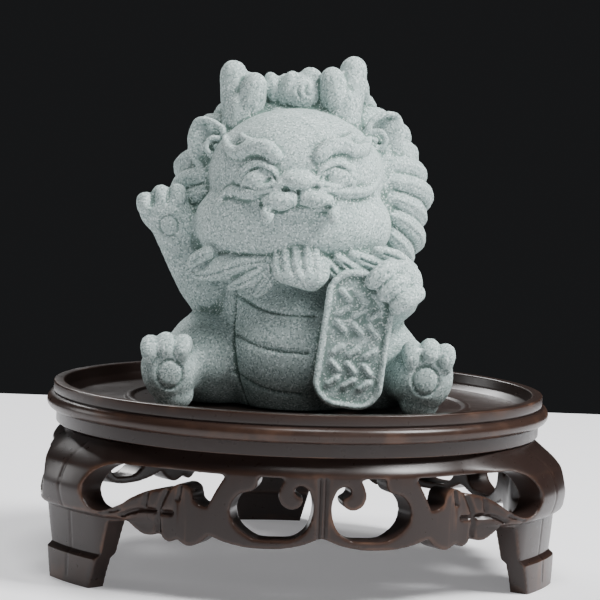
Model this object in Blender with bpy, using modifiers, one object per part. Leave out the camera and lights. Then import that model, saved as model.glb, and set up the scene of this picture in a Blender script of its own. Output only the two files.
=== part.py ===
"""A small seated lucky dragon, cast in green sandstone resin, on a round three-legged display stand.

The dragon and the stand are two separate pieces: the dragon only rests on the tray.
Metres, +Z up, the dragon faces -Y. The origin is under the middle of the outline, on the ground.
"""

import math

import bmesh
import bpy
from mathutils import Matrix, Vector, bvhtree, kdtree

# The stand's tray, a turned plate with a rim
RIM_RADIUS = 0.065
RIM_WIDTH = 0.0028
RIM_TOP = 0.0475
TRAY_DEPTH = 0.0043
TRAY_THICKNESS = 0.003
RIM_BAND_HEIGHT = 0.0030
TORUS_HEIGHT = 0.0042
TORUS_PROUD = 0.0020
COLLAR_HEIGHT = 0.0035
COLLAR_SET_BACK = 0.0008
RIDGE_SET_IN = 0.0200
RIDGE_WIDTH = 0.0018
RIDGE_HEIGHT = 0.0006
EASED_EDGE = 0.0003
TURNING_STEPS = 36

# The stand's skirt, a pierced wall with three legs, curved round under the tray
LEG_COUNT = 3
LEG_TURN = math.radians(6.2)
SKIRT_WALL = 0.0075
SKIRT_LAP = 0.0012
WAIST_SET_BACK = 0.0035
LEG_PROUD = 0.0085
FOOT_PROUD = 0.0055
FOOT_WALL = 0.0050
TOE_PROUD = 0.0013
SHOULDER_START = math.radians(33)
SHOULDER_END = math.radians(52)
SKIRT_SLICES = 14
SKIRT_TRIANGLES = 2250

# The dragon. Its shapes are written in millimetres for a dragon DESIGN_HEIGHT tall
DRAGON_HEIGHT = 0.0920
DESIGN_HEIGHT = 92.0
SEAT_GAP = 0.0003
HEAD_X = -1.2
HEAD_Z = 53.0
FACE_X = -1.75
FACE_LEAN = 0.045
CLAY_GRAIN = 1.5
SKIN_GRAIN = 0.8
DRAGON_TRIANGLES = 5300

# The tablet that the dragon holds, in the same millimetres
TABLET_HALF_WIDTH = 8.9
TABLET_HALF_HEIGHT = 17.5
TABLET_CORNER = 6.6
TABLET_THICKNESS = 8.0
TABLET_RIM = 1.1
TABLET_SUNK = 0.9
STROKE_LENGTH = 2.9
STROKE_WIDTH = 0.9
STROKE_HEIGHT = 0.6

STONE = {"color": (0.42, 0.50, 0.47, 1.0), "roughness": 0.92, "metallic": 0.0}
DARK_MOULDING = {"color": (0.050, 0.034, 0.029, 1.0), "roughness": 0.32, "metallic": 0.0}

# What follows from those sizes. The skirt's outlines are drawn in millimetres for a skirt
# DRAWN_RADIUS wide and DRAWN_TOP tall, and stretched to the real one.
DRAWN_RADIUS = 65.0
DRAWN_TOP = 38.0
SKIRT_RADIUS = RIM_RADIUS
RIDGE_RADIUS = RIM_RADIUS - RIDGE_SET_IN
FLOOR_TOP = RIM_TOP - TRAY_DEPTH
COLLAR_LOW = RIM_TOP - RIM_BAND_HEIGHT - TORUS_HEIGHT - COLLAR_HEIGHT
SKIRT_TOP = COLLAR_LOW + SKIRT_LAP
ACROSS = SKIRT_RADIUS / DRAWN_RADIUS
UP = SKIRT_TOP / DRAWN_TOP
APRON_EDGE = 31.8 * UP
ANKLE_HEIGHT = 19.0 * UP
TOE_HEIGHT = 8.0 * UP
SKIRT_LEVELS = [z * UP for z in (7.6, 9.0, 18.2, 20.0, 25.0, 29.5, 31.8, 34.5)]
LEG_BULGE = SKIRT_RADIUS + LEG_PROUD
FOOT_REACH = SKIRT_RADIUS + FOOT_PROUD
PANEL_HALF = math.pi / LEG_COUNT * SKIRT_RADIUS


def clear_scene():
    for obj in list(bpy.data.objects):
        bpy.data.objects.remove(obj)


def new_collection(name):
    collection = bpy.data.collections.new(name)
    bpy.context.scene.collection.children.link(collection)
    return collection


def new_material(name, look):
    material = bpy.data.materials.new(name)
    material.use_nodes = True
    shader = material.node_tree.nodes["Principled BSDF"]
    shader.inputs["Base Color"].default_value = look["color"]
    shader.inputs["Roughness"].default_value = look["roughness"]
    shader.inputs["Metallic"].default_value = look["metallic"]
    material.diffuse_color = look["color"]
    return material


def object_of(bm, name, collection):
    mesh = bpy.data.meshes.new(name)
    bm.to_mesh(mesh)
    bm.free()
    obj = bpy.data.objects.new(name, mesh)
    collection.objects.link(obj)
    return obj


def evaluated_mesh(obj):
    graph = bpy.context.evaluated_depsgraph_get()
    return bpy.data.meshes.new_from_object(obj.evaluated_get(graph))


def smoothstep(low, high, value):
    t = min(1.0, max(0.0, (value - low) / (high - low)))
    return t * t * (3 - 2 * t)


def between(table, value):
    """The value of a profile, given as (height, radius) pairs, at a height."""
    for (z0, r0), (z1, r1) in zip(table, table[1:]):
        if value <= z1:
            return r0 + (r1 - r0) * max(0.0, value - z0) / (z1 - z0)
    return table[-1][1]


# The stand

def torus_arc(radius, low, high, proud, steps):
    """The half-round moulding under the rim, from its lower edge to its upper one."""
    middle, half = (low + high) / 2, (high - low) / 2
    turns = [math.pi * (i / steps - 0.5) for i in range(steps + 1)]
    return [(radius + proud * math.cos(a), middle + half * math.sin(a)) for a in turns]


def tray_profile():
    """(radius, height) pairs up the outside of the tray, over its rim and in to the axis."""
    band_low = RIM_TOP - RIM_BAND_HEIGHT
    torus_low = band_low - TORUS_HEIGHT
    collar_low = COLLAR_LOW
    collar = RIM_RADIUS - COLLAR_SET_BACK
    under = FLOOR_TOP - TRAY_THICKNESS
    inner = SKIRT_RADIUS - SKIRT_WALL
    edge = EASED_EDGE
    rim_in = RIM_RADIUS - RIM_WIDTH
    below = [
        (0.0, under),
        (inner - edge, under),
        (inner - edge, collar_low),
        (collar - 2 * edge, collar_low),
        (collar, collar_low + 2 * edge),
        (collar, torus_low),
    ]
    above = [
        (RIM_RADIUS, band_low),
        (RIM_RADIUS, RIM_TOP - edge),
        (RIM_RADIUS - edge, RIM_TOP),
        (rim_in + edge, RIM_TOP),
        (rim_in, RIM_TOP - edge),
        (rim_in - 3 * edge, FLOOR_TOP + 3 * edge),
        (rim_in - 6 * edge, FLOOR_TOP),
        (RIDGE_RADIUS + RIDGE_WIDTH / 2, FLOOR_TOP),
        (RIDGE_RADIUS, FLOOR_TOP + RIDGE_HEIGHT),
        (RIDGE_RADIUS - RIDGE_WIDTH / 2, FLOOR_TOP),
        (0.0, FLOOR_TOP),
    ]
    return below + torus_arc(RIM_RADIUS - edge, torus_low, band_low, TORUS_PROUD, 5) + above


def turned(name, profile, collection, steps):
    """A solid of revolution: the profile runs top to bottom down its outside."""
    bm = bmesh.new()
    points = [bm.verts.new((r, 0, z)) for r, z in reversed(profile)]
    for a, b in zip(points, points[1:]):
        bm.edges.new((a, b))
    obj = object_of(bm, name, collection)
    screw = obj.modifiers.new("Turn", "SCREW")
    screw.steps = screw.render_steps = steps
    screw.use_merge_vertices = True
    screw.merge_threshold = 0.00001
    screw.use_smooth_shade = True
    return obj


# Half of a panel, from its middle seam to the middle of a leg, in millimetres along the
# skirt and up from the ground. "c" marks a corner, "s" a point on a smooth curve.
HALF_EDGE = [
    (0.0, 17.1, "c"), (5.4, 15.2, "s"), (14.0, 14.1, "s"), (23.4, 15.0, "s"), (28.2, 16.5, "c"),
    (31.0, 14.2, "s"), (34.0, 13.4, "s"), (36.9, 14.8, "c"), (39.2, 13.9, "s"), (41.6, 15.7, "c"),
    (45.0, 15.1, "s"), (49.6, 18.2, "c"), (54.4, 17.6, "c"), (59.2, 0.0, "c"),
]
HALF_ARCH = [
    (24.2, 31.8, "c"), (26.4, 28.2, "s"), (29.0, 23.3, "c"), (32.4, 24.8, "s"), (33.3, 27.5, "s"),
    (36.0, 28.6, "s"), (39.2, 27.2, "c"), (43.6, 26.5, "s"), (48.0, 24.2, "s"), (50.4, 22.3, "s"),
    (57.0, 20.6, "s"), (59.9, 24.2, "s"), (58.4, 28.9, "s"), (53.5, 31.9, "s"), (48.0, 32.0, "c"),
]
HALF_SCROLL = [
    (16.0, 31.8, "c"), (16.6, 29.0, "s"), (21.2, 26.8, "s"), (22.9, 22.4, "s"), (18.6, 17.3, "s"),
    (12.0, 16.3, "s"), (5.2, 17.8, "s"), (2.5, 22.6, "s"), (4.2, 27.8, "s"), (6.1, 26.2, "s"),
    (7.8, 24.4, "s"), (10.3, 27.2, "s"), (8.2, 31.8, "c"),
]


def outline_spline(curve, points):
    """A closed Bezier outline, sharp at its corners and smooth elsewhere."""
    spline = curve.splines.new("BEZIER")
    spline.bezier_points.add(len(points) - 1)
    for knot, (x, z, kind) in zip(spline.bezier_points, points):
        knot.co = (x * ACROSS, z * UP, 0)
        handle = "VECTOR" if kind == "c" else "AUTO"
        knot.handle_left_type = knot.handle_right_type = handle
    spline.use_cyclic_u = True


def mirrored(points):
    return [(-x, z, kind) for x, z, kind in reversed(points)]


def flat_panel(resolution):
    """One panel, leg middle to leg middle, as a flat pierced plate one unit thick."""
    end = PANEL_HALF / ACROSS
    right = HALF_EDGE + [(end, 0.0, "c"), (end, DRAWN_TOP, "c")]
    curve = bpy.data.curves.new("panel", "CURVE")
    curve.dimensions = "2D"
    curve.fill_mode = "BOTH"
    curve.resolution_u = resolution
    outline_spline(curve, right + mirrored(right[1:]))
    for hole in (HALF_ARCH, HALF_SCROLL):
        outline_spline(curve, hole)
        outline_spline(curve, mirrored(hole))
    curve.extrude = 0.5
    guide = bpy.data.objects.new("panel", curve)
    bpy.context.scene.collection.objects.link(guide)
    mesh = evaluated_mesh(guide)
    bpy.data.objects.remove(guide)
    bm = bmesh.new()
    bm.from_mesh(mesh)
    bmesh.ops.remove_doubles(bm, verts=bm.verts, dist=0.00002)
    return bm


def slice_panel(bm, slices, levels):
    """Cuts the flat plate across, so that it has edges to bend and bulge along."""
    width = 2 * PANEL_HALF
    cuts = [((-PANEL_HALF + width * i / slices, 0, 0), (1, 0, 0)) for i in range(1, slices)]
    cuts += [((0, z, 0), (0, 1, 0)) for z in levels]
    for point, normal in cuts:
        everything = bm.verts[:] + bm.edges[:] + bm.faces[:]
        bmesh.ops.bisect_plane(bm, geom=everything, plane_co=point, plane_no=normal, dist=0.00002)


def apron_radius(z):
    waist = SKIRT_RADIUS - WAIST_SET_BACK
    return SKIRT_RADIUS + (waist - SKIRT_RADIUS) * smoothstep(APRON_EDGE, SKIRT_TOP, z)


def leg_radius(z):
    """The outer face of a leg: toe, shin, a step at the ankle and the bulging shoulder."""
    shin = FOOT_REACH - TOE_PROUD
    waist = SKIRT_RADIUS - WAIST_SET_BACK
    swell = LEG_BULGE - waist
    profile = [
        (0.0, FOOT_REACH),
        (0.94 * TOE_HEIGHT, FOOT_REACH),
        (1.10 * TOE_HEIGHT, shin),
        (0.96 * ANKLE_HEIGHT, shin + 0.07 * swell),
        (1.05 * ANKLE_HEIGHT, LEG_BULGE - 0.10 * swell),
        (1.32 * ANKLE_HEIGHT, LEG_BULGE),
        (0.93 * APRON_EDGE, LEG_BULGE - 0.12 * swell),
        (APRON_EDGE, LEG_BULGE - 0.27 * swell),
        (1.085 * APRON_EDGE, LEG_BULGE - 0.57 * swell),
        (SKIRT_TOP, waist),
    ]
    return between(profile, z)


def skirt_point(along, z, depth):
    """Where a point of the flat plate goes; depth runs from 0 outside to 1 inside."""
    angle = along / SKIRT_RADIUS
    share = smoothstep(SHOULDER_START, SHOULDER_END, abs(angle))
    outside = apron_radius(z) + share * (leg_radius(z) - apron_radius(z))
    leg_wall = FOOT_WALL + (SKIRT_WALL - FOOT_WALL) * smoothstep(0, APRON_EDGE, z)
    wall = SKIRT_WALL + share * (leg_wall - SKIRT_WALL)
    if z > APRON_EDGE:
        inside = SKIRT_RADIUS - SKIRT_WALL
        wall = outside - inside + (wall - outside + inside) * (1 - smoothstep(APRON_EDGE, SKIRT_TOP, z))
    radius = outside - wall * depth
    middle = angle - math.pi / 2
    return Vector((radius * math.cos(middle), radius * math.sin(middle), z))


def skirt(collection, slices, levels, resolution):
    """Three panels bent round the axis and welded into one wall at the middles of the legs."""
    whole = bmesh.new()
    flat = flat_panel(resolution)
    slice_panel(flat, slices, levels)
    for vert in flat.verts:
        vert.co = (vert.co.x, vert.co.z + 0.5, vert.co.y)
    ends = [f for f in flat.faces if all(abs(abs(v.co.x) - PANEL_HALF) < 0.00003 for v in f.verts)]
    bmesh.ops.delete(flat, geom=ends, context="FACES_ONLY")
    for vert in flat.verts:
        vert.co = skirt_point(vert.co.x, vert.co.z, 1 - vert.co.y)
    panel = bpy.data.meshes.new("panel")
    flat.to_mesh(panel)
    flat.free()
    for i in range(LEG_COUNT):
        first = len(whole.verts)
        whole.from_mesh(panel)
        turn = Matrix.Rotation(2 * math.pi * i / LEG_COUNT, 3, "Z")
        bmesh.ops.rotate(whole, verts=whole.verts[first:], cent=(0, 0, 0), matrix=turn)
    bmesh.ops.remove_doubles(whole, verts=whole.verts, dist=0.00005)
    bmesh.ops.recalc_face_normals(whole, faces=whole.faces)
    return object_of(whole, "skirt", collection)


def make_stand(collection, helpers):
    """The turned tray and the skirt, as one moulding, and the skirt that it is joined from."""
    stand = turned("stand", tray_profile(), collection, TURNING_STEPS)
    wall = skirt(helpers, SKIRT_SLICES, SKIRT_LEVELS, 3)
    wall.hide_render = True
    wall.display_type = "WIRE"
    wall.data.calc_loop_triangles()
    fewer = wall.modifiers.new("Fewer faces", "DECIMATE")
    fewer.ratio = SKIRT_TRIANGLES / len(wall.data.loop_triangles)
    join = stand.modifiers.new("Skirt", "BOOLEAN")
    join.operation = "UNION"
    join.solver = "MANIFOLD"
    join.object = wall
    for obj in (stand, wall):
        obj.rotation_euler.z = LEG_TURN
    stand.data.materials.append(new_material("dark_moulding", DARK_MOULDING))
    return stand, wall


# The dragon

class Clay:
    """Lumps and strands of clay, pressed together and skinned over as one body."""

    def __init__(self):
        self.pieces = []
        self.tree = None
        self.ball = bmesh.new()
        bmesh.ops.create_icosphere(self.ball, subdivisions=2, radius=1)

    def add(self, bm):
        mesh = bpy.data.meshes.new("clay")
        bm.to_mesh(mesh)
        bm.free()
        self.pieces.append(mesh)

    def lump(self, x, y, z, rx, ry, rz, lean=(0, 0, 0)):
        """An egg of clay at a place, with its three radii and its lean about X, Y and Z."""
        turn = Matrix.Identity(3)
        for axis, degrees in zip("XYZ", lean):
            turn = Matrix.Rotation(math.radians(degrees), 3, axis) @ turn
        egg = bmesh.new()
        bmesh.ops.create_uvsphere(egg, u_segments=28, v_segments=18, radius=1)
        for vert in egg.verts:
            vert.co = turn @ Vector((vert.co.x * rx, vert.co.y * ry, vert.co.z * rz)) + Vector((x, y, z))
        self.add(egg)

    def strand(self, *knots):
        """A round strand through (x, y, z, radius) knots, rolled as a chain of close balls."""
        chain = bmesh.new()
        ball = bpy.data.meshes.new("ball")
        self.ball.to_mesh(ball)
        for x, y, z, radius in smooth_run(knots, 0.3):
            first = len(chain.verts)
            chain.from_mesh(ball)
            chain.verts.ensure_lookup_table()
            for vert in chain.verts[first:]:
                vert.co = vert.co * radius + Vector((x, y, z))
        bpy.data.meshes.remove(ball)
        self.add(chain)

    def front(self, x, z, lift=0.0):
        """The place on the settled body that shows from the front at x and z, lifted off it."""
        place, normal, _, _ = self.tree.ray_cast(Vector((x, -200, z)), Vector((0, 1, 0)))
        if place is None:
            return Vector((x, 0, z))
        return place + normal * lift

    def back(self, x, z, lift=0.0):
        """The place on the settled body that shows from behind at x and z, lifted off it."""
        place, normal, _, _ = self.tree.ray_cast(Vector((x, 200, z)), Vector((0, -1, 0)))
        if place is None:
            return Vector((x, 0, z))
        return place + normal * lift

    def laid(self, *knots):
        """A strand that lies on the front of the body: (x, z, radius, lift) knots."""
        placed = []
        for x, z, radius, lift in smooth_run(knots, None):
            place = self.front(x, z, lift)
            placed.append((place.x, place.y, place.z, radius))
        self.strand(*placed)

    def pressed(self):
        """All the pieces so far in one mesh, and none left over."""
        whole = bmesh.new()
        for mesh in self.pieces:
            whole.from_mesh(mesh)
            bpy.data.meshes.remove(mesh)
        self.pieces = []
        return whole

    def skinned(self, name, collection, grain, smoothing):
        """The pressed pieces as one closed skin of that grain, in an object of their own."""
        obj = object_of(self.pressed(), name, collection)
        remesh = obj.modifiers.new("Skin", "REMESH")
        remesh.mode = "VOXEL"
        remesh.voxel_size = grain
        relax = obj.modifiers.new("Relax", "SMOOTH")
        relax.factor = 0.5
        relax.iterations = smoothing
        obj.data = evaluated_mesh(obj)
        obj.modifiers.clear()
        return obj

    def settle(self, helpers, grain, smoothing):
        """Turns the lumps so far into one soft mass, which later lumps are pressed onto."""
        mass = self.skinned("mass", helpers, grain, smoothing)
        bm = bmesh.new()
        bm.from_mesh(mass.data)
        bpy.data.objects.remove(mass)
        self.tree = bvhtree.BVHTree.FromBMesh(bm)
        self.add(bm)


def smooth_run(knots, spacing):
    """Points along a smooth curve through the knots, a share of the radius apart."""
    ends = [knots[0], *knots, knots[-1]]
    run = []
    for a, b, c, d in zip(ends, ends[1:], ends[2:], ends[3:]):
        length = (Vector(c[:3]) - Vector(b[:3])).length
        steps = 6 if spacing is None else max(1, math.ceil(length / (spacing * max(0.6, b[-1], c[-1]))))
        for i in range(steps):
            t = i / steps
            weights = (
                -t * (1 - t) ** 2 / 2,
                (2 - 5 * t * t + 3 * t**3) / 2,
                (t + 4 * t * t - 3 * t**3) / 2,
                -t * t * (1 - t) / 2,
            )
            run.append(tuple(sum(w * k[n] for w, k in zip(weights, (a, b, c, d))) for n in range(len(b))))
    return run + [tuple(knots[-1])]


def seated_body(clay):
    """The trunk, the round belly, the hips and the two legs that stick out in front."""
    clay.lump(-1.5, -1, 20, 23, 22, 25)
    clay.lump(-1, -9, 14, 19, 21, 21)
    clay.lump(-2, 3, 7, 28, 25, 12)
    clay.lump(12, -24, 17, 7, 9, 13)
    for side, middle in ((-1, -22.5), (1, 19.5)):
        clay.lump(middle, -5, 11, 13, 18, 13.2)
        knee, ankle = middle + side * 5, middle + side * 9.5
        clay.strand((knee, -8, 10, 10.5), (ankle, -17, 9.3, 8.6), (ankle + side * 0.8, -23.5, 9.6, 7.8))


def arms(clay):
    """The raised arm on one side, and on the other the arm that reaches for the tablet."""
    clay.strand(
        (-17, -2, 25, 9.5), (-25, -3, 30.5, 7.8), (-30, -4, 37.5, 6.6), (-33.5, -6, 44, 6.0), (
            -36, -6.5, 49.5, 6.2,
        )
    )
    clay.lump(-37, -6, 49.0, 6.6, 5.0, 5.4)
    clay.strand((17, -4, 27, 10), (22.5, -14, 29.5, 8), (24.2, -24, 32, 6.8), (24.6, -29, 34, 6.2))


def head(clay):
    """The dome of the mane, and in front of it the smooth face with its very full cheeks."""
    clay.lump(HEAD_X, 6, HEAD_Z + 1, 33.4, 20, 28.8)
    clay.lump(-1.5, 7, 38, 29.4, 18, 17)
    clay.lump(-2.6, -9, 60.0, 22.9, 20.5, 17.6)
    clay.lump(-2.9, -12, 47.4, 25.9, 19, 14.6)
    clay.lump(-2.3, -22.5, 53.5, 14.5, 9.5, 8.5)


def on_face(across, up):
    """A place on the face, given across its middle line, which leans a little, and up it."""
    return FACE_X + across - FACE_LEAN * (up - 55), up + FACE_LEAN * across


# Strands on one half of the face: across, up, radius and lift
EYELID = [
    (4.9, 59.3, 1.0, -0.2), (6.6, 61.9, 1.3, 0.0), (10.1, 63.4, 1.4, 0.1), (13.6, 61.9, 1.3, 0.0),
    (15.3, 59.3, 0.9, -0.2),
]
BROW = [
    (5.6, 65.7, 1.8, -0.2), (8.0, 67.5, 2.2, -0.2), (11.5, 67.7, 2.0, -0.2), (14.8, 66.5, 1.8, -0.1),
    (17.4, 67.4, 1.4, 0.0), (19.0, 70.4, 0.6, 0.1),
]
BROW_CURL = [(10.6, 68.8, 1.1, 0.5), (13.2, 69.7, 1.0, 0.4), (14.6, 71.2, 0.5, 0.2)]
MOUSTACHE = [(4.2, 57.9, 1.9, -0.2), (8.4, 56.9, 2.0, -0.4), (13.0, 56.2, 1.9, -0.4), (17.6, 56.5, 1.6, -0.2)]


def face(clay):
    """Brows, closed smiling eyes, nose, moustache, muzzle and two small tusks."""
    for side, whisker in ((-1, (21.2, 52.6, 0.6, 0.0)), (1, (21.4, 59.6, 0.6, 0.0))):
        x, z = on_face(side * 10.2, 59.4)
        clay.lump(x, clay.front(x, z).y + 1.6, z, 4.9, 3.5, 3.7, (0, -3 * side, 8 * side))
        for line in (EYELID, BROW, BROW_CURL, [*MOUSTACHE, whisker]):
            clay.laid(*[(*on_face(side * across, up), radius, lift) for across, up, radius, lift in line])
        x, z = on_face(side * 4.1, 54.5)
        y = clay.front(x, z).y
        clay.lump(x, y + 0.9, z, 5.3, 3.6, 2.9, (0, 6 * side, 0))
        clay.strand(
            (x + side * 3.8, y + 1.0, z - 1.6, 1.2), (x + side * 3.8, y, z - 3.0, 1.5),
            (x + side * 3.5, y - 0.2, z - 4.2, 1.1),
        )
        x, z = on_face(side * 3.4, 58.4)
        clay.lump(x, clay.front(x, z).y + 0.9, z, 2.6, 3.2, 1.9)
    x, z = on_face(0, 59.6)
    y = clay.front(x, z).y
    clay.lump(x, y + 0.5, z - 0.3, 4.7, 4.4, 3.0)
    clay.lump(x, y + 1.8, z + 1.9, 3.8, 3.8, 2.2)


EAR_RIM = [
    (-4.4, 2.2, -6.8), (-3.2, 4.8, -6.2), (0.0, 6.4, -5.0), (3.2, 6.0, -3.6), (4.8, 1.8, -2.2),
    (3.8, -3.2, -2.8), (0.4, -6.8, -5.2),
]


def ears(clay):
    """Leaf-shaped ears, with one strand that scrolls out of the ear and runs round its rim."""
    for side, middle, up in ((-1, -26.0, 67.2), (1, 20.2, 70.4)):
        clay.lump(middle, -2.6, up, 5.2, 1.6, 7.4, (0, 22 * side, -12 * side))
        clay.lump(middle - side * 3, 0, up - 1, 5.4, 5.0, 6.8)
        scroll = []
        for k in range(7):
            turn, out = math.radians(50 - 62 * k), 2.8 - 0.38 * k
            scroll.append(
                (middle - side * (2.2 + out * math.sin(turn)), -6.3, up - 0.8 + out * math.cos(turn), 0.8)
            )
        clay.strand(*scroll[::-1], *[(middle + side * x, y, up + z, 1.05) for x, z, y in EAR_RIM])


def horns(clay):
    """Two stubby horns, each forked into a tall outer lobe and a lower inner one."""
    for side, middle, up in ((-1, -17.2, -0.3), (1, 8.9, 1.8)):
        clay.strand(
            (middle + side * 0.6, -1, 64 + up, 6.8), (middle, -2, 72 + up, 6.0),
            (middle, -2, 77.5 + up, 5.4),
        )
        clay.strand(
            (middle + side * 1.0, -1, 76 + up, 4.6), (middle + side * 2.0, -0.5, 81 + up, 4.3),
            (middle + side * 2.8, 0, 86.4 + up, 3.7),
        )
        clay.strand(
            (middle - side * 1.0, -2.6, 75 + up, 4.6), (middle - side * 2.0, -3.6, 79.5 + up, 4.1),
            (middle - side * 2.8, -4.2, 83.6 + up, 3.4),
        )


def bud(clay):
    """A folded bud between two leaves, on the crown between the horns."""
    clay.lump(-2.2, -1.5, 81.4, 5.6, 5.4, 5.6)
    clay.lump(0.4, -1.0, 85.4, 3.2, 3.4, 3.2, (0, 20, 0))
    clay.lump(-5.2, -3.0, 82.6, 2.6, 3.2, 5.0, (0, 14, 0))
    clay.lump(-9.2, -0.5, 82.2, 2.6, 3.4, 5.0, (0, -18, 0))
    clay.lump(4.4, -0.5, 81.4, 1.9, 3.2, 3.6, (0, 24, 0))
    clay.lump(-2.4, 2, 76, 9, 7, 6)


# The fan of the mane: how far out, how deep and how thick a lock is, from its root to its tip
FRINGE = [
    (22, -7.0, 1.5), (26.5, -5.6, 2.3), (30.4, -2.0, 2.7), (32.2, 3.2, 2.9), (31.6, 8.5, 2.7),
    (28.5, 13.0, 1.5),
]
FRINGE_COUNT = 25
EAR_BEARINGS = (150, 39)
FRINGE_START, FRINGE_SWEEP = -46, 272
HANGING_COLUMNS = (4, 5, 6, 5, 4)
HANGING_LOCK = [(-8, 0, 2.8, -1.5), (0, 0, 4.0, 0.2), (6.5, 0.6, 3.4, 1.0), (10, 1.8, 1.5, 1.2)]


def mane(clay):
    """Locks that fan out round the face and bend over the outline, and hanging locks behind."""
    for i in range(FRINGE_COUNT):
        spread = FRINGE_START + FRINGE_SWEEP * i / (FRINGE_COUNT - 1)
        bend = -1 if math.cos(math.radians(spread)) > 0 else 1
        crown = smoothstep(0.55, 0.85, math.sin(math.radians(spread)))
        ears = sum(math.exp(-(((spread - ear) / 13) ** 2)) for ear in EAR_BEARINGS)
        behind = 7 * max(crown, min(1.0, ears))
        wave = 0.7 * math.cos(2.4 * i)
        knots = []
        for k, (out, y, radius) in enumerate(FRINGE):
            turn = math.radians(spread + bend * (4.5 * k - 8))
            out += wave * k / 3
            knots.append(
                (HEAD_X + out * math.cos(turn), y + behind, HEAD_Z + 0.93 * out * math.sin(turn), radius)
            )
        clay.strand(*knots)
    for row, columns in enumerate(HANGING_COLUMNS):
        top = 76 - 12.5 * row
        for i in range(columns):
            across = HEAD_X + (i - (columns - 1) / 2) * 9.6
            sway = 1.4 if across > HEAD_X else -1.4
            knots = []
            for drop, x, radius, lift in HANGING_LOCK:
                place = clay.back(across + sway * x, max(12.0, top - drop), lift)
                knots.append((place.x, place.y, place.z, radius))
            clay.strand(*knots)


def tail(clay):
    """A short tail, curled round the hip behind."""
    clay.strand(
        (2, 24, 5, 5.5), (11, 25, 5, 5.0), (20, 20.5, 6, 4.4), (25.5, 12.5, 8.5, 3.6), (27.5, 6, 12.5, 1.8),
    )


# Locks of the beard on each side of the tuft, and the ribs of the tuft: x, up and radius
BEARD_LOCKS = [
    [(-8.0, 38.9, 1.3), (-16.0, 37.2, 2.1), (-23.0, 34.6, 2.1), (-27.8, 33.8, 0.9)],
    [(-8.4, 37.4, 1.3), (-13.0, 33.9, 2.1), (-18.2, 31.4, 1.1)],
    [(-7.2, 35.8, 1.3), (-9.4, 32.2, 1.7), (-11.6, 29.9, 0.9)],
    [(-24.5, 40.0, 1.8), (-28.0, 37.6, 1.8), (-29.6, 35.0, 0.8)],
    [(6.0, 38.8, 1.3), (9.0, 35.4, 1.9), (12.8, 34.0, 0.9)],
    [(9.0, 39.8, 1.3), (13.4, 36.8, 2.0), (18.4, 35.4, 1.0)],
    [(13.0, 40.6, 1.4), (18.0, 38.6, 2.1), (23.0, 37.8, 1.2)],
    [(19.0, 41.8, 1.6), (24.0, 40.2, 2.2), (28.6, 37.6, 1.2)],
]
TUFT_TIP = (3.8, 30.6)
TUFT_RIBS = [
    [(-6.6, 39.8), (-5.8, 35.4)], [(-4.4, 41.0), (-3.5, 35.8)], [(-1.8, 41.6), (-1.1, 36.2)],
    [(0.8, 41.8), (1.5, 36.6)], [(3.2, 41.0), (3.9, 36.6)], [(5.2, 39.2), (5.6, 35.8)],
]


def beard_depth(x):
    return -28.4 + 7.0 * ((x - HEAD_X) / 27) ** 2


def beard(clay):
    """Locks that sweep out below the cheeks on both sides, and the leaf-shaped chin tuft."""
    for side, root in ((-1, -5.5), (1, 3.2)):
        clay.lump(root + side * 9, -21.5, 38 + 0.8 * side, 11, 5, 4.4, (0, 12 * side, 0))
    for lock in BEARD_LOCKS:
        clay.strand(*[(x, beard_depth(x) + 0.5, z, radius) for x, z, radius in lock])
    clay.lump(-0.2, -27.0, 37.4, 6.2, 4.0, 5.4)
    for rib in TUFT_RIBS:
        (x0, z0), (x1, z1) = rib
        crown = 0.09 * abs(x1) ** 1.5
        clay.strand(
            (x0, -29.6 + crown, z0, 1.1),
            (x1, -31.3 + crown, z1, 1.5),
            (0.55 * TUFT_TIP[0] + 0.45 * x1, -31.5, 0.6 * TUFT_TIP[1] + 0.4 * z1, 1.25),
            (TUFT_TIP[0], -30.9, TUFT_TIP[1], 0.7),
        )


TOES = [
    (-1, [(-38.3, 15.6), (-34.3, 16.6), (-30.0, 16.2)]),
    (1, [(28.6, 16.4), (33.4, 17.3), (37.5, 16.1)]),
]


def paws(clay):
    """Three thick toes with claws over the front of each foot, and the fingers of both hands."""
    for side, toes in TOES:
        for x, z in toes:
            clay.strand(
                (x - side * 0.6, -22.5, z - 1.6, 2.3), (x, -27.0, z + 0.5, 2.6), (x, -29.4, z - 1.1, 2.4), (
                    x, -29.6, z - 2.8, 1.8,
                )
            )
            clay.strand(
                (x + 1.0, -27.0, z + 1.6, 0.9), (x + 1.1, -29.9, z + 0.6, 1.1),
                (x + 1.0, -30.7, z - 1.8, 0.8),
            )
        x = toes[1][0]
        clay.lump(x - side * 0.8, -27, 9.8, 7.0, 4.4, 8.6, (0, 10 * side, 0))
        clay.lump(x - side * 2.2, -25, 3.6, 5.2, 4.8, 4.8)
    for x, z in ((-41.8, 52.2), (-37.8, 54.2), (-33.5, 54.6)):
        inner = x + 2.0 - 0.05 * (x + 38)
        clay.strand(
            (inner, -6, z - 5.5, 2.4), (x, -7.0, z - 1.2, 2.5), (x, -8.4, z, 2.4),
            (x + 0.4, -9.8, z - 1.6, 1.9),
        )
    clay.lump(24.9, -31.0, 34.2, 5.9, 5.6, 6.2)
    for k in range(3):
        x, z = 18.0 + 3.1 * k, 35.6 - 3.1 * k
        clay.strand(
            (x + 4.6, -34.0, z + 2.6, 2.7), (x + 2.2, -36.6, z + 1.4, 2.8), (x - 0.1, -37.2, z - 0.6, 2.2),
        )


# The tablet's middle and lean
TABLET_MIDDLE = Vector((13.8, -36.9, 19.9))
TABLET_TURN = Matrix.Rotation(math.radians(-4), 3, "X") @ Matrix.Rotation(math.radians(7), 3, "Y")


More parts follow.
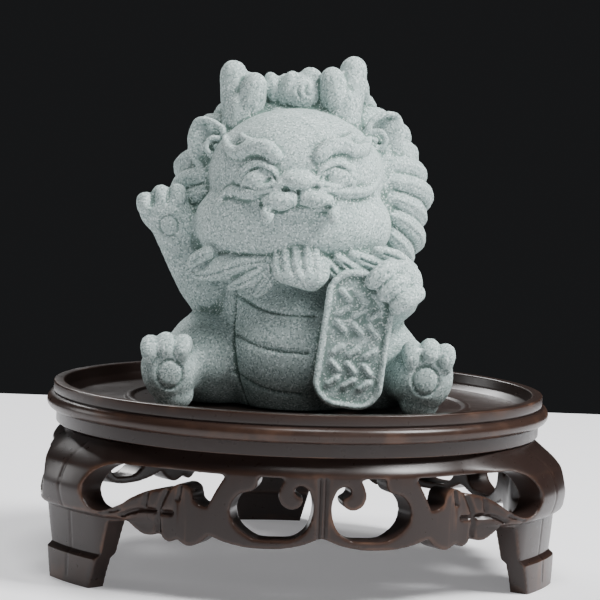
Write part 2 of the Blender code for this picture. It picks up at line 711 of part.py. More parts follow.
def rounded_outline(half_width, half_height, corner, steps):
    """The corner points of a rectangle with round corners, in order round it."""
    points = []
    for quarter, (sx, sz) in enumerate(((1, 1), (-1, 1), (-1, -1), (1, -1))):
        for k in range(steps + 1):
            a = math.radians(90 * quarter + 90 * k / steps)
            x = sx * (half_width - corner) + corner * math.cos(a)
            points.append((x, sz * (half_height - corner) + corner * math.sin(a)))
    return points


def bar(bm, middle, along, across, low, high):
    """A box that stands on the tablet: its middle, its half length and half width, and its ends in depth."""
    corners = [middle + along * i + across * j for i, j in ((-1, -1), (1, -1), (1, 1), (-1, 1))]
    rings = [[bm.verts.new((c.x, depth, c.y)) for c in corners] for depth in (low, high)]
    bm.faces.new(rings[0])
    bm.faces.new(rings[1])
    for i in range(4):
        bm.faces.new((rings[0][i - 1], rings[0][i], rings[1][i], rings[1][i - 1]))


def tablet(helpers):
    """A plate with round ends and a raised rim, and rows of short strokes that spell nothing."""
    bm = bmesh.new()
    rim = rounded_outline(TABLET_HALF_WIDTH, TABLET_HALF_HEIGHT, TABLET_CORNER, 4)
    sunk = rounded_outline(
        TABLET_HALF_WIDTH - TABLET_RIM, TABLET_HALF_HEIGHT - TABLET_RIM, TABLET_CORNER - TABLET_RIM, 4,
    )
    eased = rounded_outline(TABLET_HALF_WIDTH - 0.4, TABLET_HALF_HEIGHT - 0.4, TABLET_CORNER - 0.4, 4)
    levels = [(rim, TABLET_THICKNESS), (rim, 0.4), (eased, 0.0), (sunk, 0.0), (sunk, TABLET_SUNK)]
    rings = [[bm.verts.new((x, depth, z)) for x, z in outline] for outline, depth in levels]
    for low, high in zip(rings, rings[1:]):
        for i in range(len(low)):
            bm.faces.new((low[i - 1], low[i], high[i], high[i - 1]))
    bm.faces.new(rings[0])
    bm.faces.new(rings[-1])
    plate = object_of(bm, "tablet_plate", helpers)
    bm = bmesh.new()
    for row in range(6):
        z = 11.0 - 4.0 * row - (2.0 if row > 2 else 0)
        slope = math.radians(42 if row % 2 else -42)
        along = Vector((math.cos(slope), math.sin(slope)))
        across = Vector((-along.y, along.x))
        for x in (-4.0, 0.1, 4.2):
            bar(
                bm, Vector((x, z)), along * STROKE_LENGTH / 2, across * STROKE_WIDTH / 2,
                TABLET_SUNK - STROKE_HEIGHT, TABLET_SUNK + 1.0
            )
    strokes = object_of(bm, "tablet_strokes", helpers)
    for obj in (plate, strokes):
        bm = bmesh.new()
        bm.from_mesh(obj.data)
        bmesh.ops.recalc_face_normals(bm, faces=bm.faces)
        unit = DRAGON_HEIGHT / DESIGN_HEIGHT
        for vert in bm.verts:
            vert.co = (TABLET_MIDDLE + TABLET_TURN @ vert.co) * unit + Vector((0, 0, FLOOR_TOP + SEAT_GAP))
        bm.to_mesh(obj.data)
        bm.free()
        obj.hide_render = True
        obj.display_type = "WIRE"
    return [plate, strokes]


def carve(bm):
    """Presses grooves into the skin: the belly plates, the pads and the smile."""
    lines = []
    edge = [(-16.6, 31), (-16.8, 24), (-16.7, 18), (-15.4, 10), (-13.8, 5), (-11.8, 0)]
    lines.append((edge, 0.9, 1.0))
    for left, middle, end in ((29.5, 27.6, 3.0), (21.0, 18.8, 1.8), (11.3, 8.4, 0.6)):
        lines.append(([(-16.4, left), (-9, middle + 0.6), (-3, middle), (end, middle)], 0.9, 0.9))
    for x, z in ((-32.9, 9.0), (32.4, 9.6)):
        ring = [
            (x + 3.3 * math.cos(a), z + 3.7 * math.sin(a)) for a in [
                math.radians(20 * k) for k in range(19)
            ]
        ]
        lines.append((ring, 0.8, 0.8))
    ring = [
        (-35.3 + 2.5 * math.cos(a), 45.9 + 2.6 * math.sin(a)) for a in [
            math.radians(20 * k) for k in range(19)
        ]
    ]
    lines.append((ring, 0.7, 0.6))
    front = bvhtree.BVHTree.FromBMesh(bm)
    bm.normal_update()
    pushed = {}
    for line, width, depth in lines:
        samples = []
        for x, z in smooth_pairs(line):
            place, _, _, _ = front.ray_cast(Vector((x, -200, z)), Vector((0, 1, 0)))
            if place is not None:
                samples.append(place)
        near = kdtree.KDTree(len(samples))
        for index, place in enumerate(samples):
            near.insert(place, index)
        near.balance()
        for vert in bm.verts:
            _, _, away = near.find(vert.co)
            if away < 2 * width:
                pushed[vert] = max(
                    pushed.get(vert, 0), depth * (1 - smoothstep(0.3 * width, 2 * width, away)),
                )
    for vert, depth in pushed.items():
        vert.co -= vert.normal * depth


def smooth_pairs(line):
    return [(x, z) for x, _, z, _ in smooth_run([(x, 0, z, 0.4) for x, z in line], 1.0)]


def make_dragon(collection, helpers):
    """The whole figure, and the pieces of the tablet that are joined to it."""
    clay = Clay()
    seated_body(clay)
    arms(clay)
    head(clay)
    clay.settle(helpers, CLAY_GRAIN, 6)
    face(clay)
    ears(clay)
    horns(clay)
    bud(clay)
    mane(clay)
    tail(clay)
    beard(clay)
    paws(clay)
    dragon = clay.skinned("dragon", collection, SKIN_GRAIN, 3)
    bm = bmesh.new()
    bm.from_mesh(dragon.data)
    carve(bm)
    everything = bm.verts[:] + bm.edges[:] + bm.faces[:]
    seat = bmesh.ops.bisect_plane(
        bm, geom=everything, plane_co=(0, 0, 0), plane_no=(0, 0, -1), clear_outer=True
    )
    rim = [e for e in seat["geom_cut"] if isinstance(e, bmesh.types.BMEdge)]
    bmesh.ops.triangle_fill(bm, edges=rim, use_beauty=True)
    unit = DRAGON_HEIGHT / DESIGN_HEIGHT
    bmesh.ops.scale(bm, verts=bm.verts, vec=(unit, unit, unit))
    bmesh.ops.translate(bm, verts=bm.verts, vec=(0, 0, FLOOR_TOP + SEAT_GAP))
    bmesh.ops.recalc_face_normals(bm, faces=bm.faces)
    bm.to_mesh(dragon.data)
    full = len(bm.faces) * 2
    bm.free()
    fewer = dragon.modifiers.new("Fewer faces", "DECIMATE")
    fewer.ratio = DRAGON_TRIANGLES / full
    held = tablet(helpers)
    for piece in held:
        join = dragon.modifiers.new(piece.name, "BOOLEAN")
        join.operation = "UNION"
        join.solver = "MANIFOLD"
        join.object = piece
    dragon.data.materials.append(new_material("green_stone", STONE))
    return dragon, held


def stand_on_middle(pieces, parts):
    """Moves the finished pieces, and the parts that they are joined from, so that the origin
    lies under the middle of the pieces' outline."""
    corners = []
    for obj in pieces:
        mesh = evaluated_mesh(obj)
        turn = Matrix.Rotation(obj.rotation_euler.z, 3, "Z")
        corners += [turn @ vert.co for vert in mesh.vertices]
        bpy.data.meshes.remove(mesh)
    shift = [-(min(c[i] for c in corners) + max(c[i] for c in corners)) / 2 for i in range(2)]
    for obj in [*pieces, *parts]:
        obj.location.x += shift[0]
        obj.location.y += shift[1]


def main():
    clear_scene()
    pieces = new_collection("dragon_on_stand")
    helpers = new_collection("cutters")
    stand, wall = make_stand(pieces, helpers)
    dragon, held = make_dragon(pieces, helpers)
    bpy.context.view_layer.update()
    stand_on_middle([stand, dragon], [wall, *held])


main()
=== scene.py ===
import math

import bmesh
import bpy
import numpy as np
from mathutils import Matrix, Vector, bvhtree, kdtree, noise


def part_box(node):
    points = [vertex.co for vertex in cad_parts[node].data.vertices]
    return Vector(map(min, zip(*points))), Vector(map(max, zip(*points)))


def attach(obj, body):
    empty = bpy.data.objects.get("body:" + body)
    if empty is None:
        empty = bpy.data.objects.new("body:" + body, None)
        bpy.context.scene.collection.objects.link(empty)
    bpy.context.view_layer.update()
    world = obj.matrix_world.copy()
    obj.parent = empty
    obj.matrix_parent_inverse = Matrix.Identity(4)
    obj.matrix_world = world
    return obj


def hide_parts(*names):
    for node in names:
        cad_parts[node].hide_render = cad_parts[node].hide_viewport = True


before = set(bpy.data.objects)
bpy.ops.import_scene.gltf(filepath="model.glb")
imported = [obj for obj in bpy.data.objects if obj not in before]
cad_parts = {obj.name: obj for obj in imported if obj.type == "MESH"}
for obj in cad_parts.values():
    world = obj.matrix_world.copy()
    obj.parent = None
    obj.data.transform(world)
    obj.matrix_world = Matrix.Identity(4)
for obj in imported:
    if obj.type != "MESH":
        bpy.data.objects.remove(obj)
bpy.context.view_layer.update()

# The dragon: one solid casting of green sandstone, ground to powder and bound with resin. It
# is shaped as its clay original was, from lumps pressed together and skinned over, with
# details laid on and lines scored in. It sits loose on the tray of its stand.

# Sizes are in millimetres from its seat in the middle of the tray, and that middle is found
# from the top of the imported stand's rim
MM = 0.001
rim_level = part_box("stand")[1][2]
rim_top = [v.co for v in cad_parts["stand"].data.vertices if v.co.z > rim_level - 0.1 * MM]
MIDDLE = Vector((
    (min(p.x for p in rim_top) + max(p.x for p in rim_top)) / 2,
    (min(p.y for p in rim_top) + max(p.y for p in rim_top)) / 2,
    0,
))
SEAT = MIDDLE + Vector((0, 0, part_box("dragon")[0][2]))
CLAY_GRAIN, CLAY_SMOOTHING = 1.1, 6
SKIN_GRAIN, SKIN_SMOOTHING = 0.40, 4
DRAGON_TRIANGLES = 190000

# Well outside the dragon, where the straight lines that look for its surface start
FAR = 200

clay_pieces = []
scored = []


def deselect():
    bpy.ops.object.select_all(action="DESELECT")


def select_only(*objects):
    """Selects these objects and no others, and makes the first of them active."""
    deselect()
    for obj in objects:
        obj.select_set(True)
    bpy.context.view_layer.objects.active = objects[0]


def apply_place():
    """Puts the place, turn and scale of what is selected into its mesh."""
    bpy.ops.object.transform_apply(location=True, rotation=True, scale=True)


def lump(x, y, z, rx, ry, rz, lean=(0, 0, 0)):
    """An egg of clay at a place, with its three radii and its lean about X, Y and Z."""
    bpy.ops.mesh.primitive_uv_sphere_add(
        segments=40, ring_count=26, location=(x, y, z),
        rotation=[math.radians(angle) for angle in lean], scale=(rx, ry, rz),
    )
    clay_pieces.append(bpy.context.object)


def smooth_run(knots, spacing):
    """Points on a smooth curve through the knots: that share of the radius apart, or six a stretch."""
    ends = [knots[0], *knots, knots[-1]]
    run = []
    for a, b, c, d in zip(ends, ends[1:], ends[2:], ends[3:]):
        length = (Vector(c[:3]) - Vector(b[:3])).length
        steps = 6
        if spacing is not None:
            thickest = max(0.6, b[-1], c[-1])
            steps = max(2, math.ceil(length / (spacing * thickest)))
        for i in range(steps):
            t = i / steps
            weights = (
                -t * (1 - t) ** 2 / 2,
                (2 - 5 * t * t + 3 * t**3) / 2,
                (t + 4 * t * t - 3 * t**3) / 2,
                -t * t * (1 - t) / 2,
            )
            run.append(tuple(sum(w * k[n] for w, k in zip(weights, (a, b, c, d))) for n in range(len(b))))
    return run + [tuple(knots[-1])]


def round_end(last, before):
    """The points that close a strand with a half ball beyond its last point."""
    place, radius = Vector(last[:3]), last[3]
    onward = (place - Vector(before[:3])).normalized()
    points = []
    for degrees in (25, 50, 70, 84):
        angle = math.radians(degrees)
        points.append((*(place + onward * radius * math.sin(angle)), radius * math.cos(angle)))
    return points


def strand(*knots):
    """A round strand with round ends through (x, y, z, radius) knots."""
    run = smooth_run(knots, 0.35)
    run = round_end(run[0], run[1])[::-1] + run + round_end(run[-1], run[-2])
    bpy.ops.curve.primitive_nurbs_path_add(location=(0, 0, 0))
    path = bpy.context.object
    curve = path.data
    curve.splines.clear()
    line = curve.splines.new("POLY")
    line.points.add(len(run) - 1)
    for point, (x, y, z, radius) in zip(line.points, run):
        point.co = (x, y, z, 1)
        point.radius = radius
    curve.dimensions = "3D"
    curve.bevel_depth = 1
    curve.bevel_resolution = 3
    curve.use_fill_caps = True
    clay_pieces.append(path)


def front(x, z, lift=0.0):
    """The place on the settled body that shows from the front at x and z, lifted off it."""
    place, normal, _, _ = mass_tree.ray_cast(Vector((x, -FAR, z)), Vector((0, 1, 0)))
    return Vector((x, 0, z)) if place is None else place + normal * lift


def back(x, z, lift=0.0):
    """The same, seen from behind."""
    place, normal, _, _ = mass_tree.ray_cast(Vector((x, FAR, z)), Vector((0, -1, 0)))
    return Vector((x, 0, z)) if place is None else place + normal * lift


def laid(*knots):
    """A strand that lies on the front of the body: (x, z, radius, lift) knots."""
    placed = []
    for x, z, radius, lift in smooth_run(knots, None):
        place = front(x, z, lift)
        placed.append((place.x, place.y, place.z, radius))
    strand(*placed)


def apply_modifiers(obj):
    select_only(obj)
    for modifier in list(obj.modifiers):
        bpy.ops.object.modifier_apply(modifier=modifier.name)


def skin_over(body, grain, smoothing):
    """Gives a body one closed skin of that grain, and relaxes it."""
    skin = body.modifiers.new("Skin", "REMESH")
    skin.mode = "VOXEL"
    skin.voxel_size = grain
    relax = body.modifiers.new("Relax", "SMOOTH")
    relax.factor = 0.5
    relax.iterations = smoothing
    apply_modifiers(body)


def pressed_together(name, grain, smoothing):
    """Joins the pieces of clay so far and skins them over as one body."""
    select_only(*clay_pieces)
    bpy.ops.object.convert(target="MESH")
    bpy.ops.object.join()
    body = bpy.context.object
    body.name = name
    apply_place()
    clay_pieces.clear()
    skin_over(body, grain, smoothing)
    return body


def tree_of(obj):
    """A search tree of a mesh, for finding where a straight line meets it."""
    bm = bmesh.new()
    bm.from_mesh(obj.data)
    tree = bvhtree.BVHTree.FromBMesh(bm)
    bm.free()
    return tree


def score(points, width, depth):
    """Notes a line to be cut into the finished skin, through points in space."""
    scored.append((points, width, depth))


def score_front(tree, line, width, depth):
    """A line to be cut where it shows from the front: (x, z) points."""
    run = [(x, z) for x, _, z, _ in smooth_run([(x, 0, z, 0.4) for x, z in line], 0.6)]
    places = [tree.ray_cast(Vector((x, -FAR, z)), Vector((0, 1, 0)))[0] for x, z in run]
    score([p for p in places if p is not None], width, depth)


# The seated body: trunk, round belly, hips, and legs that stick out in front
lump(-1.5, -1, 20, 23, 22, 25)
lump(-1, -9, 14, 19, 21, 21)
lump(-2, 3, 7, 28, 25, 12)
lump(12, -24, 17, 7, 9, 13)
for side, hip in ((-1, -22.5), (1, 19.5)):
    lump(hip, -5, 11, 13, 18, 13.2)
    knee, ankle = hip + side * 5, hip + side * 9.5
    strand((knee, -8, 10, 10.5), (ankle, -17, 9.3, 8.6), (ankle + side * 0.8, -23.5, 9.6, 7.8))

# The raised arm, and the arm that reaches for the tablet
strand(
    (-17, -2, 25, 9.5), (-25, -3, 30.5, 7.8), (-30, -4, 37.5, 6.6), (-33.5, -6, 44, 6.0),
    (-36, -6.5, 49.5, 6.2),
)
lump(-37, -6, 49.0, 6.6, 5.0, 5.4)
strand((17, -4, 27, 10), (22.5, -14, 29.5, 8), (24.2, -24, 32, 6.8), (24.6, -29, 34, 6.2))

# The dome of the mane, and in front of it the smooth face with its very full cheeks
HEAD_X, HEAD_Z = -1.2, 53.0
lump(HEAD_X, 6, HEAD_Z + 1, 33.4, 20, 28.8)
lump(-1.5, 7, 38, 29.4, 18, 17)
lump(-2.6, -9, 60.0, 22.9, 20.5, 17.6)
lump(-2.9, -12, 47.4, 25.9, 19, 14.6)
lump(-2.3, -22.5, 53.5, 14.5, 9.5, 8.5)

# So far it is one soft mass, and what follows is pressed onto it
mass = pressed_together("mass", CLAY_GRAIN, CLAY_SMOOTHING)
mass_tree = tree_of(mass)
clay_pieces.append(mass)

# Brows, closed smiling eyes, nose, moustache, muzzle and two small tusks. The face leans a
# little, so a place on it is given across its middle line and up it. Strands of one half of
# the face: across, up, radius and lift. The halves differ in the whisker and the tusk.
FACE_X, FACE_Z, FACE_LEAN = -1.75, 55, 0.045
EYELID = [
    (4.9, 59.3, 1.0, -0.2), (6.6, 61.9, 1.3, 0.0), (10.1, 63.4, 1.4, 0.1), (13.6, 61.9, 1.3, 0.0),
    (15.3, 59.3, 0.9, -0.2),
]
BROW = [
    (5.6, 65.7, 1.9, 0.3), (8.0, 67.5, 2.3, 0.5), (11.5, 67.7, 2.1, 0.5), (14.8, 66.5, 1.8, 0.4),
    (17.4, 67.4, 1.4, 0.0), (19.0, 70.4, 0.6, 0.1),
]
BROW_CURL = [(10.6, 68.8, 1.1, 0.5), (13.2, 69.7, 1.0, 0.4), (14.6, 71.2, 0.5, 0.2)]
MOUSTACHE = [(4.2, 57.9, 1.8, 0.3), (8.4, 56.9, 1.8, 0.3), (13.0, 56.2, 1.6, 0.3), (17.6, 56.5, 1.3, 0.3)]


def on_face(across, up):
    """The x and z of a place given across the face's middle line and up it."""
    return FACE_X + across - FACE_LEAN * (up - FACE_Z), up + FACE_LEAN * across


FACE_HALVES = ((-1, (21.2, 52.6, 0.6, 0.0), 3.5), (1, (21.4, 59.6, 0.6, 0.0), 5.0))
for side, whisker, tusk in FACE_HALVES:
    x, z = on_face(side * 10.2, 59.4)
    lump(x, front(x, z).y + 1.6, z, 4.9, 3.5, 3.7, (0, -3 * side, 8 * side))
    for line in (EYELID, BROW, BROW_CURL, [*MOUSTACHE, whisker]):
        laid(*[(*on_face(side * across, up), radius, lift) for across, up, radius, lift in line])
    x, z = on_face(side * 4.1, 54.5)
    y = front(x, z).y
    lump(x, y + 0.9, z, 5.3, 3.6, 2.9, (0, 6 * side, 0))
    strand(
        (x + side * tusk, y + 0.4, z - 1.8, 1.4), (x + side * tusk, y - 1.9, z - 3.7, 1.8),
        (x + side * tusk, y - 2.3, z - 4.8, 1.4)
    )
    x, z = on_face(side * 4.0, 58.5)
    lump(x, front(x, z).y + 0.6, z, 3.4, 3.2, 2.0)
x, z = on_face(0, 59.6)
y = front(x, z).y
lump(x, y + 0.5, z - 0.3, 5.1, 4.4, 3.0)
lump(x, y + 1.2, z + 0.7, 4.4, 4.0, 2.2)

# Leaf-shaped ears, with one strand that scrolls out of the ear and runs round its rim
EAR_RIM = [
    (-4.4, 2.2, -6.8), (-3.2, 4.8, -6.2), (0.0, 6.4, -5.0), (3.2, 6.0, -3.6), (4.8, 1.8, -2.2),
    (3.8, -3.2, -2.8), (0.4, -6.8, -5.2),
]
for side, ear, up in ((-1, -26.0, 67.2), (1, 20.2, 70.4)):
    lump(ear, -2.6, up, 5.2, 1.6, 7.4, (0, 22 * side, -12 * side))
    lump(ear - side * 3, 0, up - 1, 5.4, 5.0, 6.8)
    scroll = []
    for k in range(7):
        turn, out = math.radians(50 - 62 * k), 3.3 - 0.45 * k
        x, z = ear - side * (1.8 + out * math.sin(turn)), up - 0.8 + out * math.cos(turn)
        scroll.append((x, -6.7, z, 0.8))
    strand(*scroll[::-1], *[(ear + side * x, y, up + z, 0.9) for x, z, y in EAR_RIM])

# Two stubby horns, each forked into a tall outer lobe and a lower inner one
for side, horn, up in ((-1, -17.2, -0.3), (1, 8.9, 1.8)):
    strand((horn + side * 0.6, -1, 64 + up, 6.8), (horn, -2, 72 + up, 6.0), (horn, -2, 77.5 + up, 5.4))
    strand(
        (horn + side * 1.0, -1, 76 + up, 4.6), (horn + side * 2.0, -0.5, 81 + up, 4.3),
        (horn + side * 2.8, 0, 86.4 + up, 3.7)
    )
    strand(
        (horn - side * 1.0, -2.6, 75 + up, 4.6), (horn - side * 2.0, -3.6, 79.5 + up, 4.1),
        (horn - side * 2.8, -4.2, 83.6 + up, 3.4)
    )

# A folded bud between two leaves, on the crown between the horns
lump(-2.2, -1.5, 81.4, 5.6, 5.4, 5.6)
lump(0.4, -1.0, 85.4, 3.2, 3.4, 3.2, (0, 20, 0))
lump(-5.2, -3.0, 82.6, 2.6, 3.2, 5.0, (0, 14, 0))
lump(-9.2, -0.5, 82.2, 2.6, 3.4, 5.0, (0, -18, 0))
lump(4.4, -0.5, 81.4, 1.9, 3.2, 3.6, (0, 24, 0))
lump(-2.4, 2, 76, 9, 7, 6)
for line in (
    [(1.4, -4.4, 86.4), (-1.6, -6.6, 85.2), (-3.0, -7.2, 82.4), (-1.6, -7.3, 80.0), (0.6, -6.8, 79.6)],
    [(-0.2, -6.4, 84.0), (-0.8, -7.0, 82.0), (0.8, -6.8, 81.0), (1.8, -6.0, 82.6)],
):
    score([Vector(p[:3]) for p in smooth_run([(*p, 0.6) for p in line], 0.5)], 0.45, 0.8)

# The fan of the mane: how far out, how deep and how thick a lock is, from its root to its tip
FRINGE = [
    (22, -7.0, 1.5), (26.5, -5.6, 2.3), (30.4, -2.0, 2.7), (32.2, 3.2, 2.9), (31.6, 8.5, 2.7),
    (28.5, 13.0, 1.5),
]
FRINGE_COUNT = 25
FRINGE_START, FRINGE_SWEEP = -46, 272
FRINGE_HEIGHT = 0.93
EAR_BEARINGS = (150, 39)
BEHIND_EARS = 7
LOCK_SCORE = (0.45, 0.4)

# Columns in each hanging row, and one hanging lock: drop, sideways, radius and lift
HANGING_COLUMNS = (4, 5, 6, 5, 4)
HANGING_TOP, HANGING_DROP, HANGING_GAP = 76, 12.5, 9.6
HANGING_LOCK = [(-8, 0, 2.8, -1.5), (0, 0, 4.0, 0.2), (6.5, 0.6, 3.4, 1.0), (10, 1.8, 1.5, 1.2)]


def smoothstep(low, high, value):
    t = min(1.0, max(0.0, (value - low) / (high - low)))
    return t * t * (3 - 2 * t)


for i in range(FRINGE_COUNT):
    spread = FRINGE_START + FRINGE_SWEEP * i / (FRINGE_COUNT - 1)
    bend = -1 if math.cos(math.radians(spread)) > 0 else 1
    crown = smoothstep(0.55, 0.85, math.sin(math.radians(spread)))
    ears = sum(math.exp(-(((spread - ear) / 13) ** 2)) for ear in EAR_BEARINGS)
    behind = BEHIND_EARS * max(crown, min(1.0, ears))
    wave = 0.7 * math.cos(2.4 * i)
    knots = []
    for k, (out, y, radius) in enumerate(FRINGE):
        turn = math.radians(spread + bend * (4.5 * k - 8))
        out += wave * k / 3
        x, z = HEAD_X + out * math.cos(turn), HEAD_Z + FRINGE_HEIGHT * out * math.sin(turn)
        knots.append((x, y + behind, z, radius))
    strand(*knots)
    for shift in (-0.45, 0.4):
        line = []
        for x, y, z, radius in smooth_run(knots, 0.3):
            outward = Vector((x - HEAD_X, (y - 6) * 1.4 - 8, z - HEAD_Z)).normalized()
            across = outward.cross(Vector((0, 1, 0))).normalized()
            line.append(Vector((x, y, z)) + (outward + across * shift).normalized() * radius)
        score(line[3:-2], 0.4, 0.25)

# Hanging locks, one row over the next, down the back of the mane
for row, columns in enumerate(HANGING_COLUMNS):
    top = HANGING_TOP - HANGING_DROP * row
    for i in range(columns):
        across = HEAD_X + (i - (columns - 1) / 2) * HANGING_GAP
        sway = 1.4 if across > HEAD_X else -1.4
        knots = []
        for drop, x, radius, lift in HANGING_LOCK:
            knots.append((*back(across + sway * x, max(12.0, top - drop), lift), radius))
        strand(*knots)
        for shift in (-0.5, 0.0, 0.5):
            line = []
            for x, y, z, radius in smooth_run(knots, 0.3)[3:-1]:
                line.append(Vector((x + shift * radius, y + radius * math.sqrt(1 - shift * shift), z)))
            score(line, *LOCK_SCORE)

# A short tail, curled round the hip behind
strand((2, 24, 5, 5.5), (11, 25, 5, 5.0), (20, 20.5, 6, 4.4), (25.5, 12.5, 8.5, 3.6), (27.5, 6, 12.5, 1.8))

# Locks of the beard on each side of the tuft, and the ribs of the tuft: x, up and radius
BEARD_LOCKS = [
    [(-8.0, 38.9, 1.3), (-16.0, 37.2, 2.1), (-23.0, 34.6, 2.1), (-27.8, 33.8, 0.9)],
    [(-8.4, 37.4, 1.3), (-13.0, 33.9, 2.1), (-18.2, 31.4, 1.1)],
    [(-7.2, 35.8, 1.3), (-9.4, 32.2, 1.7), (-11.6, 29.9, 0.9)],
    [(-24.5, 40.0, 1.8), (-28.0, 37.6, 1.8), (-29.6, 35.0, 0.8)],
    [(6.0, 38.8, 1.3), (9.0, 35.4, 1.9), (12.8, 34.0, 0.9)],
    [(9.0, 39.8, 1.3), (13.4, 36.8, 2.0), (18.4, 35.4, 1.0)],
    [(13.0, 40.6, 1.4), (18.0, 38.6, 2.1), (23.0, 37.8, 1.2)],
    [(19.0, 41.8, 1.6), (24.0, 40.2, 2.2), (28.6, 37.6, 1.2)],
]
BEARD_FRONT, BEARD_SWEEP, BEARD_REACH = -28.4, 7.0, 27
TUFT_TIP = (3.0, 32.0)
TUFT_RIBS = [
    [(-6.6, 39.8), (-5.8, 35.4)], [(-4.4, 41.0), (-3.5, 35.8)], [(-1.8, 41.6), (-1.1, 36.2)],
    [(0.8, 41.8), (1.5, 36.6)], [(3.2, 41.0), (3.9, 36.6)], [(5.2, 39.2), (5.6, 35.8)],
]


def beard_depth(x):
    """How far forward the beard lies at x: it sweeps back on both sides."""
    return BEARD_FRONT + BEARD_SWEEP * ((x - HEAD_X) / BEARD_REACH) ** 2


for side, root in ((-1, -5.5), (1, 3.2)):
    lump(root + side * 9, -21.5, 38 + 0.8 * side, 11, 5, 4.4, (0, 12 * side, 0))
for lock in BEARD_LOCKS:
    strand(*[(x, beard_depth(x) + 0.5, z, radius) for x, z, radius in lock])
    run = smooth_run([(x, beard_depth(x) + 0.5 - radius, z, radius) for x, z, radius in lock], 0.3)
    score([Vector(point[:3]) for point in run[4:-1]], 0.35, 0.55)
lump(-0.2, -27.0, 37.4, 6.2, 4.0, 5.4)
for (x0, z0), (x1, z1) in TUFT_RIBS:
    crown = 0.09 * abs(x1) ** 1.5
    strand(
        (x0, -29.6 + crown, z0, 1.1),
        (x1, -31.3 + crown, z1, 1.5),
        (0.55 * TUFT_TIP[0] + 0.45 * x1, -31.5, 0.6 * TUFT_TIP[1] + 0.4 * z1, 1.25),
        (TUFT_TIP[0], -30.9, TUFT_TIP[1], 0.7),
    )

# Three thick toes with claws over the front of each foot
TOES = [
    (-1, [(-38.3, 15.6), (-34.3, 16.6), (-30.0, 16.2)]),
    (1, [(28.6, 16.4), (33.4, 17.3), (37.5, 16.1)]),
]
for side, toes in TOES:
    for x, z in toes:
        strand(
            (x - side * 0.6, -22.5, z - 1.6, 2.3), (x, -27.0, z + 0.5, 2.6), (x, -29.4, z - 1.1, 2.4),
            (x, -29.6, z - 2.8, 1.8)
        )
        strand(
            (x + 1.0, -27.0, z + 1.6, 0.9), (x + 1.1, -29.9, z + 0.6, 1.1), (x + 1.0, -30.7, z - 1.8, 0.8)
        )
    x = toes[1][0]
    lump(x - side * 0.8, -27, 9.8, 7.0, 4.4, 8.6, (0, 10 * side, 0))
    lump(x - side * 2.2, -25, 3.6, 5.2, 4.8, 4.8)

# The fingers of the raised paw, and the fist with three fingers hooked over the tablet's corner
for x, z in ((-41.8, 52.2), (-37.8, 54.2), (-33.5, 54.6)):
    inner = x + 2.0 - 0.05 * (x + 38)
    strand(
        (inner, -6, z - 5.5, 2.4), (x, -7.0, z - 1.2, 2.5), (x, -8.4, z, 2.4),
        (x + 0.4, -9.8, z - 1.6, 1.9),
    )
lump(24.9, -31.0, 34.2, 5.9, 5.6, 6.2)
for k in range(3):
    x, z = 18.0 + 3.1 * k, 35.6 - 3.1 * k
    strand((x + 4.6, -34.0, z + 2.6, 2.7), (x + 2.2, -36.6, z + 1.4, 2.8), (x - 0.1, -37.2, z - 0.6, 2.2))

# The tablet: a thick plate with round ends and a raised rim, held at a corner. Where an
# inscription would be it has rows of short slanted strokes that spell nothing.
TABLET_MIDDLE = Vector((13.8, -36.9, 19.9))
TABLET_HALF_WIDTH, TABLET_HALF_HEIGHT, TABLET_CORNER, TABLET_THICKNESS = 8.9, 17.5, 6.6, 8.0
TABLET_RIM, TABLET_SUNK = 0.8, 0.8
TABLET_EDGE_DEPTHS = (0.8, 1.8, 3.2, 5.0, 6.8)
CORNER_STEPS = 8
STROKE_ROWS, STROKE_COLUMNS = (11.0, 7.0, 3.0, -3.0, -7.0, -11.0), (-4.0, 0.1, 4.2)
STROKE_HALF_LENGTH, STROKE_SLOPE, STROKE_DEPTH, STROKE_RADIUS = 1.35, math.radians(42), 0.45, 0.6
tablet_turn = Matrix.Rotation(math.radians(-4), 3, "X") @ Matrix.Rotation(math.radians(7), 3, "Y")


def on_tablet(x, depth, z):
    """A place on the tablet: across from its middle, in from its face, and up."""
    return TABLET_MIDDLE + tablet_turn @ Vector((x, depth, z))


def tablet_outline(inset):
    """The tablet's outline, so far in from its edge."""
    corner = TABLET_CORNER - inset
    points = []
    for quarter, (sx, sz) in enumerate(((1, 1), (-1, 1), (-1, -1), (1, -1))):
        for k in range(CORNER_STEPS + 1):
            angle = math.radians(90 * (quarter + k / CORNER_STEPS))
            x = sx * (TABLET_HALF_WIDTH - TABLET_CORNER) + corner * math.cos(angle)
            points.append((x, sz * (TABLET_HALF_HEIGHT - TABLET_CORNER) + corner * math.sin(angle)))
    return points


def face_outwards(obj):
    """Points every face of a closed mesh outwards."""
    select_only(obj)
    bpy.ops.object.mode_set(mode="EDIT")
    bpy.ops.mesh.select_all(action="SELECT")
    bpy.ops.mesh.normals_make_consistent(inside=False)
    bpy.ops.object.mode_set(mode="OBJECT")


